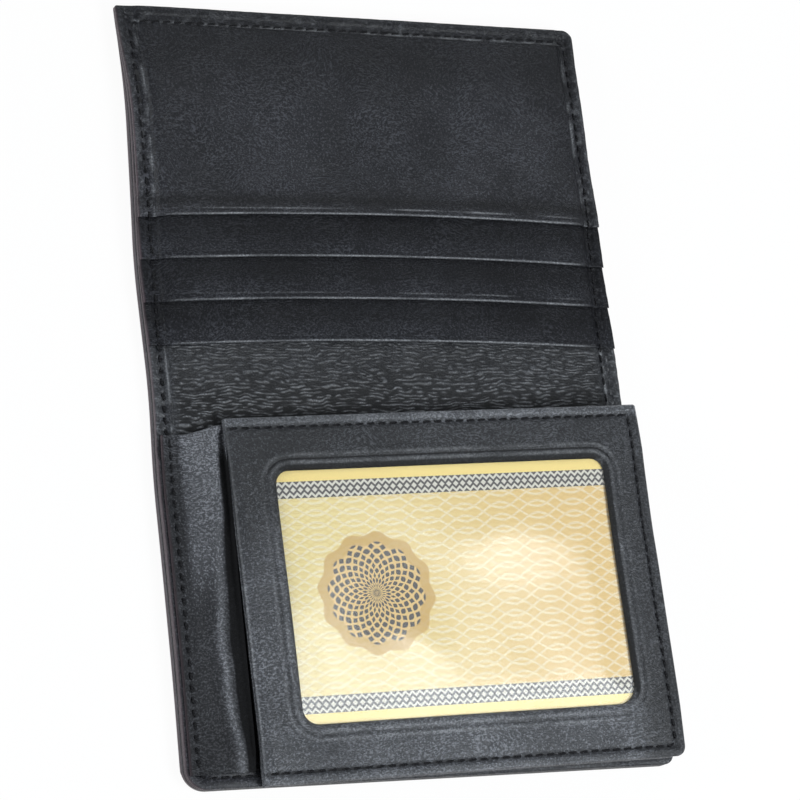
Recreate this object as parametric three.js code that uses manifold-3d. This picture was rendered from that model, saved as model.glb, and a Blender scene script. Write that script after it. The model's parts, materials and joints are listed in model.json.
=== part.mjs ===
// An L-fold wallet lying open and flat, with its outer cover down.
// Millimetres, +Z up. X runs along the fold and +Y points to the half with the card pockets.
// The origin lies under the middle of the open wallet, on the face it rests on.

import * as THREE from 'three';
import { mergeVertices } from 'three/addons/utils/BufferGeometryUtils.js';
import Module from 'manifold-3d';

const wasm = await Module();
wasm.setup();

// The open wallet, seen from above
const WIDTH = 110; // along the fold
const OPEN_LENGTH = 170; // across the fold
const SPINE_WIDTH = 12.4; // between the two fold lines
const FOLD_CLEARANCE = 0.15; // from a fold line to the leather on either side of it
const CORNER_RADIUS = 4;
const MOUTH_SETBACK = 1; // the inner leather stops this far short of the cover at the bill mouth

// Layers of the cover and of the inner panel
const COVER_THICKNESS = 1.2;
const CLOTH_THICKNESS = 0.3;
const HEM_THICKNESS = 1.1;
const HEM_WIDTH = 4; // turned-in edge of the cover on its sewn sides
const MOUTH_HEM_THICKNESS = 0.5;
const MOUTH_HEM_WIDTH = 5; // thinner turned-in edge along the bill mouth
const LINING_CLEARANCE = 0.2; // from the lining to the hems around it
const PANEL_THICKNESS = 0.9;

// Card pockets of the upper half, counted from the front one to the one nearest the fold
const POCKET_COUNT = 4;
const POCKET_THICKNESS = 0.6;
const POCKET_GAP = 0.1; // an empty pocket lies almost shut
const FIRST_MOUTH_SETBACK = 3.3; // from the fold line to the nearest pocket mouth
const POCKET_STEP = 9.4; // from one mouth to the next
const STRIP_DEPTH = 18; // leather of a stepped pocket, before its cloth back begins
const STRIP_SEAM_GAP = 0.1; // between that leather and its cloth back
const POCKET_BOTTOM_SETBACK = 14.7; // from the wallet's end to the deepest cloth back

// Slip pocket of the lower half, behind the flap
const SLIP_MOUTH_SETBACK = 9; // from the fold line to its mouth

// The flap and the soft strip that hinges it to the border at the bill mouth
const FLAP_TILT_DEGREES = 2.4; // the free edge rests a little raised
const FLAP_CLEARANCE = 0.1; // above the slip pocket, at the hinge
const FLAP_FOLD_SETBACK = 1; // from the fold line to the flap's near edge
const FLAP_END_SETBACK = 0.8; // from the wallet's end to the flap's far edge
const FLAP_CORNER_RADIUS = 3;
const HINGE_TAB_WIDTH = 3.6; // sewn to the border
const HINGE_SPAN = 10.4; // free strip between the tab and the flap
const HINGE_THICKNESS = 0.7;
const HINGE_SETBACK = 1; // the strip is shorter than the flap at the fold
const HINGE_GAP = 0.3; // from the strip to the flap's back leather

// Layers of the flap, from its back to its front
const FLAP_BACK_THICKNESS = 0.7;
const FLAP_LAYER_GAP = 0.1;
const FLAP_POCKET_SETBACK = 17; // from the flap's near edge to the mouth of the pocket on its back
const CARD_THICKNESS = 0.45;
const CARD_CLEARANCE = 0.15; // above and below the card
const FILM_THICKNESS = 0.2;
const FRAME_THICKNESS = 0.8;
const FRAME_SIDE_BORDER = 9.8; // from the flap's left and right edges to the window
const FRAME_END_BORDER = 11.8; // from the flap's near and far edges to the window
const WINDOW_RADIUS = 4.5;
const FILM_MOUTH_SETBACK = 3; // from the flap's open edge to the film
const CARD_SIDE_OVERLAP = 5.3; // card behind the frame, left and right
const CARD_END_OVERLAP = 2.3; // card behind the frame, near and far
const CARD_CORNER_RADIUS = 3;
const SLEEVE_CLEARANCE = 0.5; // from the card and the film to the hem that stops them

// Sewing thread
const STITCH_INSET = 2.3; // from an edge to the middle of its row of stitches
const THREAD_WIDTH = 0.6;
const THREAD_HEIGHT = 0.3;
const THREAD_FOLD_GAP = 0.6; // from a fold line to the end of a row

const ARC_STEPS = 6; // flats in a rounded corner
const HINGE_STEPS = 10; // flats along the hinge strip

const LEATHER = { color: 0x1c1c1f, roughness: 0.5, metalness: 0 };
const CLOTH = { color: 0x17171a, roughness: 0.9, metalness: 0 };
const THREAD = { color: 0x0f0f11, roughness: 0.7, metalness: 0 };
const FILM = { color: 0xf3f5f6, roughness: 0.12, metalness: 0, transparent: true, opacity: 0.3 };
const CARD = { color: 0xd8b04a, roughness: 0.45, metalness: 0 };

// Edges and fold lines
const right = WIDTH / 2;
const left = -right;
const innerLeft = left + MOUTH_SETBACK;
const upperEnd = OPEN_LENGTH / 2;
const lowerEnd = -upperEnd;
const upperFold = SPINE_WIDTH / 2;
const lowerFold = -upperFold;

// Heights of the layers that both halves and the spine share
const hemTop = COVER_THICKNESS + HEM_THICKNESS;
const panelBottom = hemTop + CLOTH_THICKNESS;
const panelTop = panelBottom + PANEL_THICKNESS;

const wallet = new THREE.Group();

function roundedOutline(bounds, radii) {
  const corners = [
    { x: bounds.left, y: bounds.bottom, inX: 1, inY: 1, start: Math.PI, radius: radii.bottomLeft },
    { x: bounds.right, y: bounds.bottom, inX: -1, inY: 1, start: 1.5 * Math.PI, radius: radii.bottomRight },
    { x: bounds.right, y: bounds.top, inX: -1, inY: -1, start: 0, radius: radii.topRight },
    { x: bounds.left, y: bounds.top, inX: 1, inY: -1, start: 0.5 * Math.PI, radius: radii.topLeft },
  ];
  const points = [];
  for (const corner of corners) {
    const radius = corner.radius ?? 0;
    const steps = radius > 0 ? ARC_STEPS : 0;
    const centreX = corner.x + corner.inX * radius;
    const centreY = corner.y + corner.inY * radius;
    for (let step = 0; step <= steps; step += 1) {
      const angle = corner.start + (step / ARC_STEPS) * (Math.PI / 2);
      const x = centreX + radius * Math.cos(angle);
      const y = centreY + radius * Math.sin(angle);
      points.push(new THREE.Vector2(x, y));
    }
  }
  return points;
}

function allRound(radius) {
  return { bottomLeft: radius, bottomRight: radius, topLeft: radius, topRight: radius };
}

function inset(bounds, side, end) {
  return {
    left: bounds.left + side,
    right: bounds.right - side,
    bottom: bounds.bottom + end,
    top: bounds.top - end,
  };
}

function extrude(shape, depth) {
  return new THREE.ExtrudeGeometry(shape, { depth, bevelEnabled: false });
}

// A closed geometry as a solid that can be cut
function toSolid(geometry) {
  geometry.deleteAttribute('normal');
  geometry.deleteAttribute('uv');
  const merged = mergeVertices(geometry);
  const vertProperties = Float32Array.from(merged.attributes.position.array);
  const triVerts = Uint32Array.from(merged.index.array);
  return new wasm.Manifold(new wasm.Mesh({ numProp: 3, vertProperties, triVerts }));
}

function toGeometry(solid) {
  const { vertProperties, triVerts } = solid.getMesh();
  const geometry = new THREE.BufferGeometry();
  geometry.setAttribute('position', new THREE.BufferAttribute(vertProperties, 3));
  geometry.setIndex(new THREE.BufferAttribute(triVerts, 1));
  geometry.computeVertexNormals();
  return geometry;
}

// Stands a shape drawn in Y and Z upright, and draws it out along +X
function extrudeAlongX(shape, depth) {
  const turn = new THREE.Matrix4().makeBasis(
    new THREE.Vector3(0, 1, 0),
    new THREE.Vector3(0, 0, 1),
    new THREE.Vector3(1, 0, 0),
  );
  return extrude(shape, depth).applyMatrix4(turn);
}

// Stands a shape drawn in X and Z upright, and draws it out along -Y
function extrudeAlongMinusY(shape, depth) {
  const turn = new THREE.Matrix4().makeBasis(
    new THREE.Vector3(1, 0, 0),
    new THREE.Vector3(0, 0, 1),
    new THREE.Vector3(0, -1, 0),
  );
  return extrude(shape, depth).applyMatrix4(turn);
}

function addMesh(parent, name, look, geometry) {
  const mesh = new THREE.Mesh(geometry, new THREE.MeshStandardMaterial(look));
  mesh.name = name;
  parent.add(mesh);
  return mesh;
}

// A flat sheet of one thickness, from its outline and the height of its lower face
function addSheet(parent, name, look, bounds, height, thickness, radii = {}) {
  const shape = new THREE.Shape(roundedOutline(bounds, radii));
  const mesh = addMesh(parent, name, look, extrude(shape, thickness));
  mesh.position.z = height;
  return mesh;
}

// Radii of the two outer corners of a half; the corners at the fold stay square
function endCorners(isUpper, leftRadius, rightRadius) {
  if (isUpper) {
    return { topLeft: leftRadius, topRight: rightRadius };
  }
  return { bottomLeft: leftRadius, bottomRight: rightRadius };
}

// Cover, hems, linings and inner panel of one half
function addHalf(name, bottom, top, isUpper) {
  const hemRadius = Math.min(CORNER_RADIUS, HEM_WIDTH);
  const hemEdge = isUpper ? top - HEM_WIDTH : bottom + HEM_WIDTH;
  const clothEdge = isUpper ? hemEdge - LINING_CLEARANCE : hemEdge + LINING_CLEARANCE;
  const insideHem = isUpper ? { bottom, top: hemEdge } : { bottom: hemEdge, top };
  const insideCloth = isUpper ? { bottom, top: clothEdge } : { bottom: clothEdge, top };
  const endHem = isUpper ? { bottom: hemEdge, top } : { bottom, top: hemEdge };

  const cover = { left, right, bottom, top };
  const coverCorners = endCorners(isUpper, CORNER_RADIUS, CORNER_RADIUS);
  addSheet(wallet, `cover_${name}`, LEATHER, cover, 0, COVER_THICKNESS, coverCorners);

  const sideHem = { left: right - HEM_WIDTH, right, bottom, top };
  const sideCorners = endCorners(isUpper, 0, hemRadius);
  addSheet(wallet, `side_hem_${name}`, LEATHER, sideHem, COVER_THICKNESS, HEM_THICKNESS, sideCorners);

  const endBounds = { left, right: right - HEM_WIDTH, ...endHem };
  const hemCorners = endCorners(isUpper, hemRadius, 0);
  addSheet(wallet, `end_hem_${name}`, LEATHER, endBounds, COVER_THICKNESS, HEM_THICKNESS, hemCorners);

  addMouthHemAndLining(name, insideHem, insideCloth);

  const inner = { left: innerLeft, right, bottom, top };
  const innerCorners = endCorners(isUpper, CORNER_RADIUS - MOUTH_SETBACK, CORNER_RADIUS);
  addInnerPanel(name, inner, innerCorners);
}

function addMouthHemAndLining(name, hemSpan, clothSpan) {
  const mouthHem = { left, right: left + MOUTH_HEM_WIDTH, ...hemSpan };
  addSheet(wallet, `mouth_hem_${name}`, LEATHER, mouthHem, COVER_THICKNESS, MOUTH_HEM_THICKNESS);

  const lining = {
    left: left + MOUTH_HEM_WIDTH + LINING_CLEARANCE,
    right: right - HEM_WIDTH - LINING_CLEARANCE,
    ...clothSpan,
  };
  addSheet(wallet, `cover_lining_${name}`, CLOTH, lining, COVER_THICKNESS, CLOTH_THICKNESS);
}

function addInnerPanel(name, bounds, corners) {
  addSheet(wallet, `panel_lining_${name}`, CLOTH, bounds, hemTop, CLOTH_THICKNESS, corners);
  addSheet(wallet, `inner_panel_${name}`, LEATHER, bounds, panelBottom, PANEL_THICKNESS, corners);
}

// The spine between the two fold lines
function addSpine() {
  const span = { bottom: lowerFold + FOLD_CLEARANCE, top: upperFold - FOLD_CLEARANCE };
  addSheet(wallet, 'cover_spine', LEATHER, { left, right, ...span }, 0, COVER_THICKNESS);
  const sideHem = { left: right - HEM_WIDTH, right, ...span };
  addSheet(wallet, 'side_hem_spine', LEATHER, sideHem, COVER_THICKNESS, HEM_THICKNESS);
  addMouthHemAndLining('spine', span, span);
  addInnerPanel('spine', { left: innerLeft, right, ...span }, {});
}

// Stepped card pockets: level 0 lies on the inner panel, nearest the fold
function pocketLevel(level) {
  const bottom = panelTop + POCKET_GAP + level * (POCKET_THICKNESS + POCKET_GAP);
  const mouth = upperFold + FIRST_MOUTH_SETBACK + level * POCKET_STEP;
  return { bottom, mouth, surface: bottom + POCKET_THICKNESS };
}

// The cloth backs settle on the inner panel, one on the other
function clothBottom(level) {
  return panelTop + POCKET_GAP + level * (CLOTH_THICKNESS + POCKET_GAP);
}

const frontLevel = POCKET_COUNT - 1;
const frontPocket = pocketLevel(frontLevel);
const lastStep = pocketLevel(frontLevel - 1);
const deepestCloth = upperEnd - POCKET_BOTTOM_SETBACK;
const steppedDepth = deepestCloth - lastStep.mouth;

// Under side of the front pocket in Y and Z: level over the strips, then down to the sewn border
const frontDrape = [
  new THREE.Vector2(frontPocket.mouth, frontPocket.bottom),
  new THREE.Vector2(lastStep.mouth + STRIP_DEPTH, frontPocket.bottom),
  new THREE.Vector2(deepestCloth, clothBottom(frontLevel)),
  new THREE.Vector2(upperEnd - HEM_WIDTH, clothBottom(0)),
  new THREE.Vector2(upperEnd, clothBottom(0)),
];
const frontSurface = frontDrape.map((point) => new THREE.Vector2(point.x, point.y + POCKET_THICKNESS));

function addFrontPocket() {
  const side = new THREE.Shape([...frontDrape, ...frontSurface.toReversed()]);
  const draped = extrudeAlongX(side, WIDTH).translate(left, 0, 0);
  const bounds = { left: innerLeft, right, bottom: frontPocket.mouth, top: upperEnd };
  const corners = endCorners(true, CORNER_RADIUS - MOUTH_SETBACK, CORNER_RADIUS);
  const outline = extrude(new THREE.Shape(roundedOutline(bounds, corners)), frontPocket.surface);
  const cut = toSolid(draped).intersect(toSolid(outline));
  addMesh(wallet, 'card_pocket_1', LEATHER, toGeometry(cut));
}

function addSteppedPockets() {
  for (let level = 0; level < frontLevel; level += 1) {
    const number = POCKET_COUNT - level;
    const pocket = pocketLevel(level);
    const stripTop = pocket.mouth + STRIP_DEPTH;
    const strip = { left: innerLeft, right, bottom: pocket.mouth, top: stripTop };
    addSheet(wallet, `card_pocket_${number}`, LEATHER, strip, pocket.bottom, POCKET_THICKNESS);

    const clothTop = pocket.mouth + steppedDepth;
    const cloth = { left: innerLeft, right, bottom: stripTop + STRIP_SEAM_GAP, top: clothTop };
    addSheet(wallet, `pocket_cloth_${number}`, CLOTH, cloth, clothBottom(level), CLOTH_THICKNESS);
  }
}

// Slip pocket of the lower half
const slipBottom = panelTop + POCKET_GAP;
const slipTop = slipBottom + POCKET_THICKNESS;
const slipMouth = lowerFold - SLIP_MOUTH_SETBACK;

function addSlipPocket() {
  const bounds = { left: innerLeft, right, bottom: lowerEnd, top: slipMouth };
  const corners = endCorners(false, CORNER_RADIUS - MOUTH_SETBACK, CORNER_RADIUS);
  addSheet(wallet, 'slip_pocket_lower', LEATHER, bounds, slipBottom, POCKET_THICKNESS, corners);
}

// Outline and layers of the flap, as if it lay level
const tabRight = innerLeft + HINGE_TAB_WIDTH;
const flapBounds = {
  left: tabRight + HINGE_SPAN,
  right,
  bottom: lowerEnd + FLAP_END_SETBACK,
  top: lowerFold - FLAP_FOLD_SETBACK,
};
const windowBounds = inset(flapBounds, FRAME_SIDE_BORDER, FRAME_END_BORDER);
const cardBounds = inset(windowBounds, -CARD_SIDE_OVERLAP, -CARD_END_OVERLAP);
const flapHemWidth = flapBounds.right - cardBounds.right - SLEEVE_CLEARANCE;
const sleeveBounds = inset(flapBounds, 0, flapHemWidth + SLEEVE_CLEARANCE);
const filmBounds = {
  ...sleeveBounds,
  left: flapBounds.left + FILM_MOUTH_SETBACK,
  right: cardBounds.right,
};

const flapPocketBottom = slipTop + FLAP_CLEARANCE;
const flapBackBottom = flapPocketBottom + POCKET_THICKNESS + FLAP_LAYER_GAP;
const flapBackTop = flapBackBottom + FLAP_BACK_THICKNESS;
const cardBottom = flapBackTop + CARD_CLEARANCE;
const filmBottom = cardBottom + CARD_THICKNESS + CARD_CLEARANCE;
const frameBottom = filmBottom + FILM_THICKNESS + FLAP_LAYER_GAP;
const frameTop = frameBottom + FRAME_THICKNESS;

// The flap turns about a line level with the card, half-way between the cover's edge and the flap's edge,
// so that it lies wholly beside the wallet when it is swung right over
const hingeX = (left + flapBounds.left) / 2;
const hingeZ = cardBottom + CARD_THICKNESS / 2;
const tilt = THREE.MathUtils.degToRad(FLAP_TILT_DEGREES);

const flap = new THREE.Group();
flap.position.set(hingeX, 0, hingeZ);
flap.rotation.y = -tilt;
wallet.add(flap);

// Places a level sheet of the flap in the tilted group
function addFlapSheet(name, look, bounds, height, thickness, radii) {
  const mesh = addSheet(flap, name, look, bounds, height - hingeZ, thickness, radii);
  mesh.position.x = -hingeX;
}

function addFlap() {
  const freeCorners = { topRight: FLAP_CORNER_RADIUS, bottomRight: FLAP_CORNER_RADIUS };
  const pocketBounds = { ...flapBounds, top: flapBounds.top - FLAP_POCKET_SETBACK };
  const pocketCorners = { bottomRight: FLAP_CORNER_RADIUS };
  addFlapSheet('flap_pocket', LEATHER, pocketBounds, flapPocketBottom, POCKET_THICKNESS, pocketCorners);
  addFlapSheet('flap_back', LEATHER, flapBounds, flapBackBottom, FLAP_BACK_THICKNESS, freeCorners);
  addFlapSheet('insert_card', CARD, cardBounds, cardBottom, CARD_THICKNESS, allRound(CARD_CORNER_RADIUS));
  addFlapSheet('window_film', FILM, filmBounds, filmBottom, FILM_THICKNESS, allRound(WINDOW_RADIUS));

  const hemBottom = flapBackTop + FLAP_LAYER_GAP;
  const hemThickness = frameBottom - FLAP_LAYER_GAP - hemBottom;
  const hemLeft = flapBounds.right - flapHemWidth;
  const hemRadius = Math.min(FLAP_CORNER_RADIUS, flapHemWidth);
  const sideHem = { ...flapBounds, left: hemLeft };
  const sideCorners = { topRight: hemRadius, bottomRight: hemRadius };
  addFlapSheet('flap_hem_side', LEATHER, sideHem, hemBottom, hemThickness, sideCorners);
  const hemRight = hemLeft - FLAP_LAYER_GAP;
  const nearHem = { ...flapBounds, right: hemRight, bottom: flapBounds.top - flapHemWidth };
  addFlapSheet('flap_hem_near', LEATHER, nearHem, hemBottom, hemThickness);
  const farHem = { ...flapBounds, right: hemRight, top: flapBounds.bottom + flapHemWidth };
  addFlapSheet('flap_hem_far', LEATHER, farHem, hemBottom, hemThickness);

  const frame = new THREE.Shape(roundedOutline(flapBounds, freeCorners));
  frame.holes.push(new THREE.Path(roundedOutline(windowBounds, allRound(WINDOW_RADIUS))));
  const mesh = addMesh(flap, 'flap_frame', LEATHER, extrude(frame, FRAME_THICKNESS));
  mesh.position.set(-hingeX, 0, frameBottom - hingeZ);
}

// The soft strip that joins the flap to the border, as a section in X and Z drawn along the flap
const hingeTop = flapBounds.top - HINGE_SETBACK;
const hingeBottom = lowerEnd + STITCH_INSET + THREAD_WIDTH;
const tabTop = slipTop + HINGE_THICKNESS;

function addHingeStrip() {
  const middle = slipTop + HINGE_THICKNESS / 2;
  const along = new THREE.Vector2(Math.cos(tilt), Math.sin(tilt));
  const across = new THREE.Vector2(-along.y, along.x);
  const end = new THREE.Vector2(hingeX, hingeZ);
  end.addScaledVector(along, flapBounds.left - HINGE_GAP - hingeX);
  end.addScaledVector(across, flapBackBottom + FLAP_BACK_THICKNESS / 2 - hingeZ);

  const start = new THREE.Vector2(tabRight, middle);
  const reach = HINGE_SPAN / 3;
  const startPull = new THREE.Vector2(tabRight + reach, middle);
  const endPull = end.clone().addScaledVector(along, -reach);
  const curve = new THREE.CubicBezierCurve(start, startPull, endPull, end);

  const upper = [new THREE.Vector2(innerLeft, tabTop)];
  const lower = [new THREE.Vector2(innerLeft, slipTop)];
  for (let step = 0; step <= HINGE_STEPS; step += 1) {
    const point = curve.getPoint(step / HINGE_STEPS);
    const tangent = curve.getTangent(step / HINGE_STEPS);
    const normal = new THREE.Vector2(-tangent.y, tangent.x).multiplyScalar(HINGE_THICKNESS / 2);
    upper.push(point.clone().add(normal));
    lower.push(point.clone().sub(normal));
  }
  const shape = new THREE.Shape([...lower, ...upper.reverse()]);
  const geometry = extrudeAlongMinusY(shape, hingeTop - hingeBottom);
  const mesh = addMesh(wallet, 'flap_hinge_strip', LEATHER, geometry);
  mesh.position.y = hingeTop;
}

// Where a row climbs or drops straight up or down, its thread stands clear of the step by its own height
function riserShift(points, index) {
  const point = points[index];
  const before = points[index - 1];
  const after = points[index + 1];
  if (after && after.x === point.x) {
    return Math.sign(point.y - after.y) * THREAD_HEIGHT;
  }
  if (before && before.x === point.x) {
    return Math.sign(before.y - point.y) * THREAD_HEIGHT;
  }
  return 0;
}

// A row of stitches along Y, laid over surface points given in Y and Z
function addThreadAlongY(name, x, surface) {
  const over = surface.map((point, index) => {
    const shift = riserShift(surface, index);
    return new THREE.Vector2(point.x + shift, point.y + THREAD_HEIGHT);
  });
  const shape = new THREE.Shape([...surface, ...over.reverse()]);
  const mesh = addMesh(wallet, name, THREAD, extrudeAlongX(shape, THREAD_WIDTH));
  mesh.position.x = x - THREAD_WIDTH / 2;
}

function addThreads() {
  const leftRow = innerLeft + STITCH_INSET;
  const rightRow = right - STITCH_INSET;
  const half = THREAD_WIDTH / 2;
  const between = { left: leftRow + half, right: rightRow - half };

  const upperRow = upperEnd - STITCH_INSET;
  const upperPath = [new THREE.Vector2(upperFold + THREAD_FOLD_GAP, panelTop)];
  for (let level = 0; level < POCKET_COUNT; level += 1) {
    const pocket = pocketLevel(level);
    upperPath.push(new THREE.Vector2(pocket.mouth, upperPath.at(-1).y));
    upperPath.push(new THREE.Vector2(pocket.mouth, pocket.surface));
  }
  upperPath.push(...frontSurface.slice(1, -1));
  const borderSurface = frontSurface.at(-1).y;
  upperPath.push(new THREE.Vector2(upperRow + half, borderSurface));
  addThreadAlongY('thread_upper_left', leftRow, upperPath);
  addThreadAlongY('thread_upper_right', rightRow, upperPath);
  const upperEndRow = { ...between, bottom: upperRow - half, top: upperRow + half };
  addSheet(wallet, 'thread_upper_end', THREAD, upperEndRow, borderSurface, THREAD_HEIGHT);

  const spinePath = [
    new THREE.Vector2(lowerFold + THREAD_FOLD_GAP, panelTop),
    new THREE.Vector2(upperFold - THREAD_FOLD_GAP, panelTop),
  ];
  addThreadAlongY('thread_spine_left', leftRow, spinePath);
  addThreadAlongY('thread_spine_right', rightRow, spinePath);

  const lowerRow = lowerEnd + STITCH_INSET;
  const lowerStop = lowerFold - THREAD_FOLD_GAP;
  const besideTab = [
    new THREE.Vector2(lowerRow - half, slipTop),
    new THREE.Vector2(hingeBottom, slipTop),
    new THREE.Vector2(hingeBottom, tabTop),
    new THREE.Vector2(hingeTop, tabTop),
    new THREE.Vector2(hingeTop, panelTop),
    new THREE.Vector2(lowerStop, panelTop),
  ];
  const besidePocket = [
    new THREE.Vector2(lowerRow - half, slipTop),
    new THREE.Vector2(slipMouth, slipTop),
    new THREE.Vector2(slipMouth, panelTop),
    new THREE.Vector2(lowerStop, panelTop),
  ];
  addThreadAlongY('thread_lower_left', leftRow, besideTab);
  addThreadAlongY('thread_lower_right', rightRow, besidePocket);
  const lowerEndRow = { ...between, bottom: lowerRow - half, top: lowerRow + half };
  addSheet(wallet, 'thread_lower_end', THREAD, lowerEndRow, slipTop, THREAD_HEIGHT);

  addFlapThread();
}

// One row round the three sewn sides of the flap; its left side is the mouth that the card slides out of
function addFlapThread() {
  const outer = inset(flapBounds, STITCH_INSET - THREAD_WIDTH / 2, STITCH_INSET - THREAD_WIDTH / 2);
  const inner = inset(flapBounds, STITCH_INSET + THREAD_WIDTH / 2, STITCH_INSET + THREAD_WIDTH / 2);
  const shape = new THREE.Shape([
    new THREE.Vector2(outer.left, outer.bottom),
    new THREE.Vector2(outer.right, outer.bottom),
    new THREE.Vector2(outer.right, outer.top),
    new THREE.Vector2(outer.left, outer.top),
    new THREE.Vector2(outer.left, inner.top),
    new THREE.Vector2(inner.right, inner.top),
    new THREE.Vector2(inner.right, inner.bottom),
    new THREE.Vector2(outer.left, inner.bottom),
  ]);
  const mesh = addMesh(flap, 'thread_flap', THREAD, extrude(shape, THREAD_HEIGHT));
  mesh.position.set(-hingeX, 0, frameTop + FLAP_LAYER_GAP - hingeZ);
}

addHalf('lower', lowerEnd, lowerFold - FOLD_CLEARANCE, false);
addSpine();
addHalf('upper', upperFold + FOLD_CLEARANCE, upperEnd, true);
addFrontPocket();
addSteppedPockets();
addSlipPocket();
addFlap();
addHingeStrip();
addThreads();

export default wallet;
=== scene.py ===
"""An open L-fold wallet: leather, lining, stitches, film and card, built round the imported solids.

The wallet's lengths are in millimetres and become metres where a mesh is written. Those of the lights and
the floor are in metres. X runs along the fold, +Y points to the half with the card pockets, and Z is up.
"""

import json
import math

import bpy
import numpy as np
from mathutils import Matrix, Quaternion, Vector
from mathutils.bvhtree import BVHTree


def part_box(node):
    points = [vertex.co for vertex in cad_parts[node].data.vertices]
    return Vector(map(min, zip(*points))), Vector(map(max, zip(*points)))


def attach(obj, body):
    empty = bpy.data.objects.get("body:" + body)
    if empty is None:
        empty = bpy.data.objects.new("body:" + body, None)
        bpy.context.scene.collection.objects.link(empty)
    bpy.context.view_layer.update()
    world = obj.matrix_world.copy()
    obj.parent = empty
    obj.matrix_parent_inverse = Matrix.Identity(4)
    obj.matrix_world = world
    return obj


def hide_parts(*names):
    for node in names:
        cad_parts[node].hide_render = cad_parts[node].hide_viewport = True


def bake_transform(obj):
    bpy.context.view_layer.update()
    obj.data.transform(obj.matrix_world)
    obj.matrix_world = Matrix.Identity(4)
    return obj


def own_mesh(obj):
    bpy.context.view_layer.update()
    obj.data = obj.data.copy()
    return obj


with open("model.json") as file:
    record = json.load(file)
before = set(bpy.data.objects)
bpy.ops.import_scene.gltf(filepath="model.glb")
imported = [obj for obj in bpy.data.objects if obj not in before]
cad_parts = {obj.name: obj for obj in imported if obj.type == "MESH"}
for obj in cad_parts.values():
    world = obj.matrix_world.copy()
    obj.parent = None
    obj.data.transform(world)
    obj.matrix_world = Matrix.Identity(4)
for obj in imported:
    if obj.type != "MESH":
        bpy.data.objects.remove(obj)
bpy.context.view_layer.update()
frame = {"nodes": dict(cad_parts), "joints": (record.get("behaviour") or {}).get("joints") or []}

MM = 0.001


# Sizes taken from the frame

def box_of(node):
    low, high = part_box(node)
    return np.array(low) / MM, np.array(high) / MM


joints = {joint["name"]: joint for joint in frame["joints"]}
cover_low, cover_high = box_of("cover_upper")
hem_low, hem_high = box_of("side_hem_upper")
mouth_hem_high = box_of("mouth_hem_upper")[1]
panel_low, panel_high = box_of("inner_panel_upper")
LEFT = cover_low[0]
RIGHT, END, COVER_TOP = cover_high
HEM_TOP = hem_high[2]
HEM_WIDTH = RIGHT - hem_low[0]
MOUTH_HEM_TOP = mouth_hem_high[2]
MOUTH_HEM_WIDTH = mouth_hem_high[0] - LEFT
PANEL_EASE = 0.8  # the soft inner layers spread this far towards the open side
INNER_LEFT = panel_low[0] - PANEL_EASE
PANEL_BOTTOM = panel_low[2]
PANEL_TOP = panel_high[2]
FOLD = joints["upper_fold"]["pos_m"][1] / MM
STITCH_INSET = END - sum(corner[1] for corner in box_of("thread_upper_end")) / 2

hinge = np.array(joints["flap_hinge"]["pos_m"]) / MM
slide = joints["card_slide"]["axis"]
TILT = math.atan2(-slide[2], -slide[0])


def tilted(points, angle):
    """Turns points about the flap's hinge line; a positive angle raises the free edge."""
    cos, sin = math.cos(angle), math.sin(angle)
    x = points[:, 0] - hinge[0]
    z = points[:, 2] - hinge[2]
    return np.stack([hinge[0] + x * cos - z * sin, points[:, 1], hinge[2] + x * sin + z * cos], axis=1)


def level_box(node):
    """Box of a node of the flap, as if the flap lay level."""
    corners = np.array([vertex.co for vertex in frame["nodes"][node].data.vertices]) / MM
    level = tilted(corners, -TILT)
    return level.min(axis=0), level.max(axis=0)


# Sizes and places read from the photograph, and how fine some meshes are

CORNER_RADII = (5.0, 2.6, 2.5, 0.9)  # bottom left, bottom right, top right, top left
BORDER_WIDTH = 3.9  # from an edge to the crease beside its stitches
STITCH_PITCH = 2.6
STITCH_LENGTH = 2.15
STITCH_SLANT = math.radians(5)
THREAD_RADIUS = 0.24
THREAD_SIDES = 6
STITCH_RISE = 0.14  # the middle of a stitch stands this far out of the leather
STITCH_DIP = 0.5  # and its ends lie this much deeper
MOUTH_BOW = 1.1  # a pocket mouth curves this far towards the end of the wallet
MOUTH_ROLL = 0.5  # the turned edge of a mouth is rounded this far in
MOUTH_LIFT = 0.5  # a mouth stands this far open in the middle
MOUTH_CREASE = {1: 1.0, 2: 0.1, 3: 0.5, 4: 0.1}  # how clear the second line is beside each mouth
CREASE_INSET = 1.6  # that line lies this far from the mouth
STRIP_SLOPE = 0.025  # a strip falls this much from its mouth
WRINKLE_PITCH = 0.8
WRINKLE_HEIGHT = 0.22
WRINKLE_STEP = 0.14  # rows of the mesh lie this close in the wrinkles
WAVE_REACH = 22.0  # a wandering edge moves the leather this far in
LEFT_WAVE = ((-85, -0.4), (-62, -0.15), (-35, -0.3), (-19, -0.5), (0, 0.2), (28, -0.6), (45, 0.15),
             (66, 0.9), (85, 0.1))  # places along Y, and how far the open edge lies in +X there
RIGHT_WAVE = ((-85, 3.6), (-74, 1.7), (-40, 1.4), (0, 1.7), (12, 1.5), (24, 0.7), (40, 0.6), (50, -0.2),
              (64, 0.2), (75, 0.0), (85, 0.6))  # the same for the sewn edge
STRETCH_FROM = 45.0  # from here to the end of the upper half the leather is drawn out
SPREAD_FROM = 55.0  # from here to that end the inner layers also spread towards the open side
WRINKLED_FROM = -19.0  # the leather is wrinkled from here to the mouth nearest the fold
FLAP_TURN = math.radians(1.1)  # the flap lies a little askew
FLAP_STRETCH = 1.014
FLAP_SHEAR = 0.009  # its free edge leans this much
FLAP_GROWTH = 1.1  # its hinged edge is this much longer than in the frame
FLAP_FLARE = 0.8  # and its free edge longer still
FLAP_REACH = 0.7  # its free corner at the fold reaches this much further out
REACH_LENGTH = 30.0  # along this much of its free edge
FLAP_RADII = (0.6, 2.2, 0.6, 0.6)
FREE_RADII = (0.0, 3.5, 1.2, 0.0)  # of the layers behind its front that reach its free edge
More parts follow.
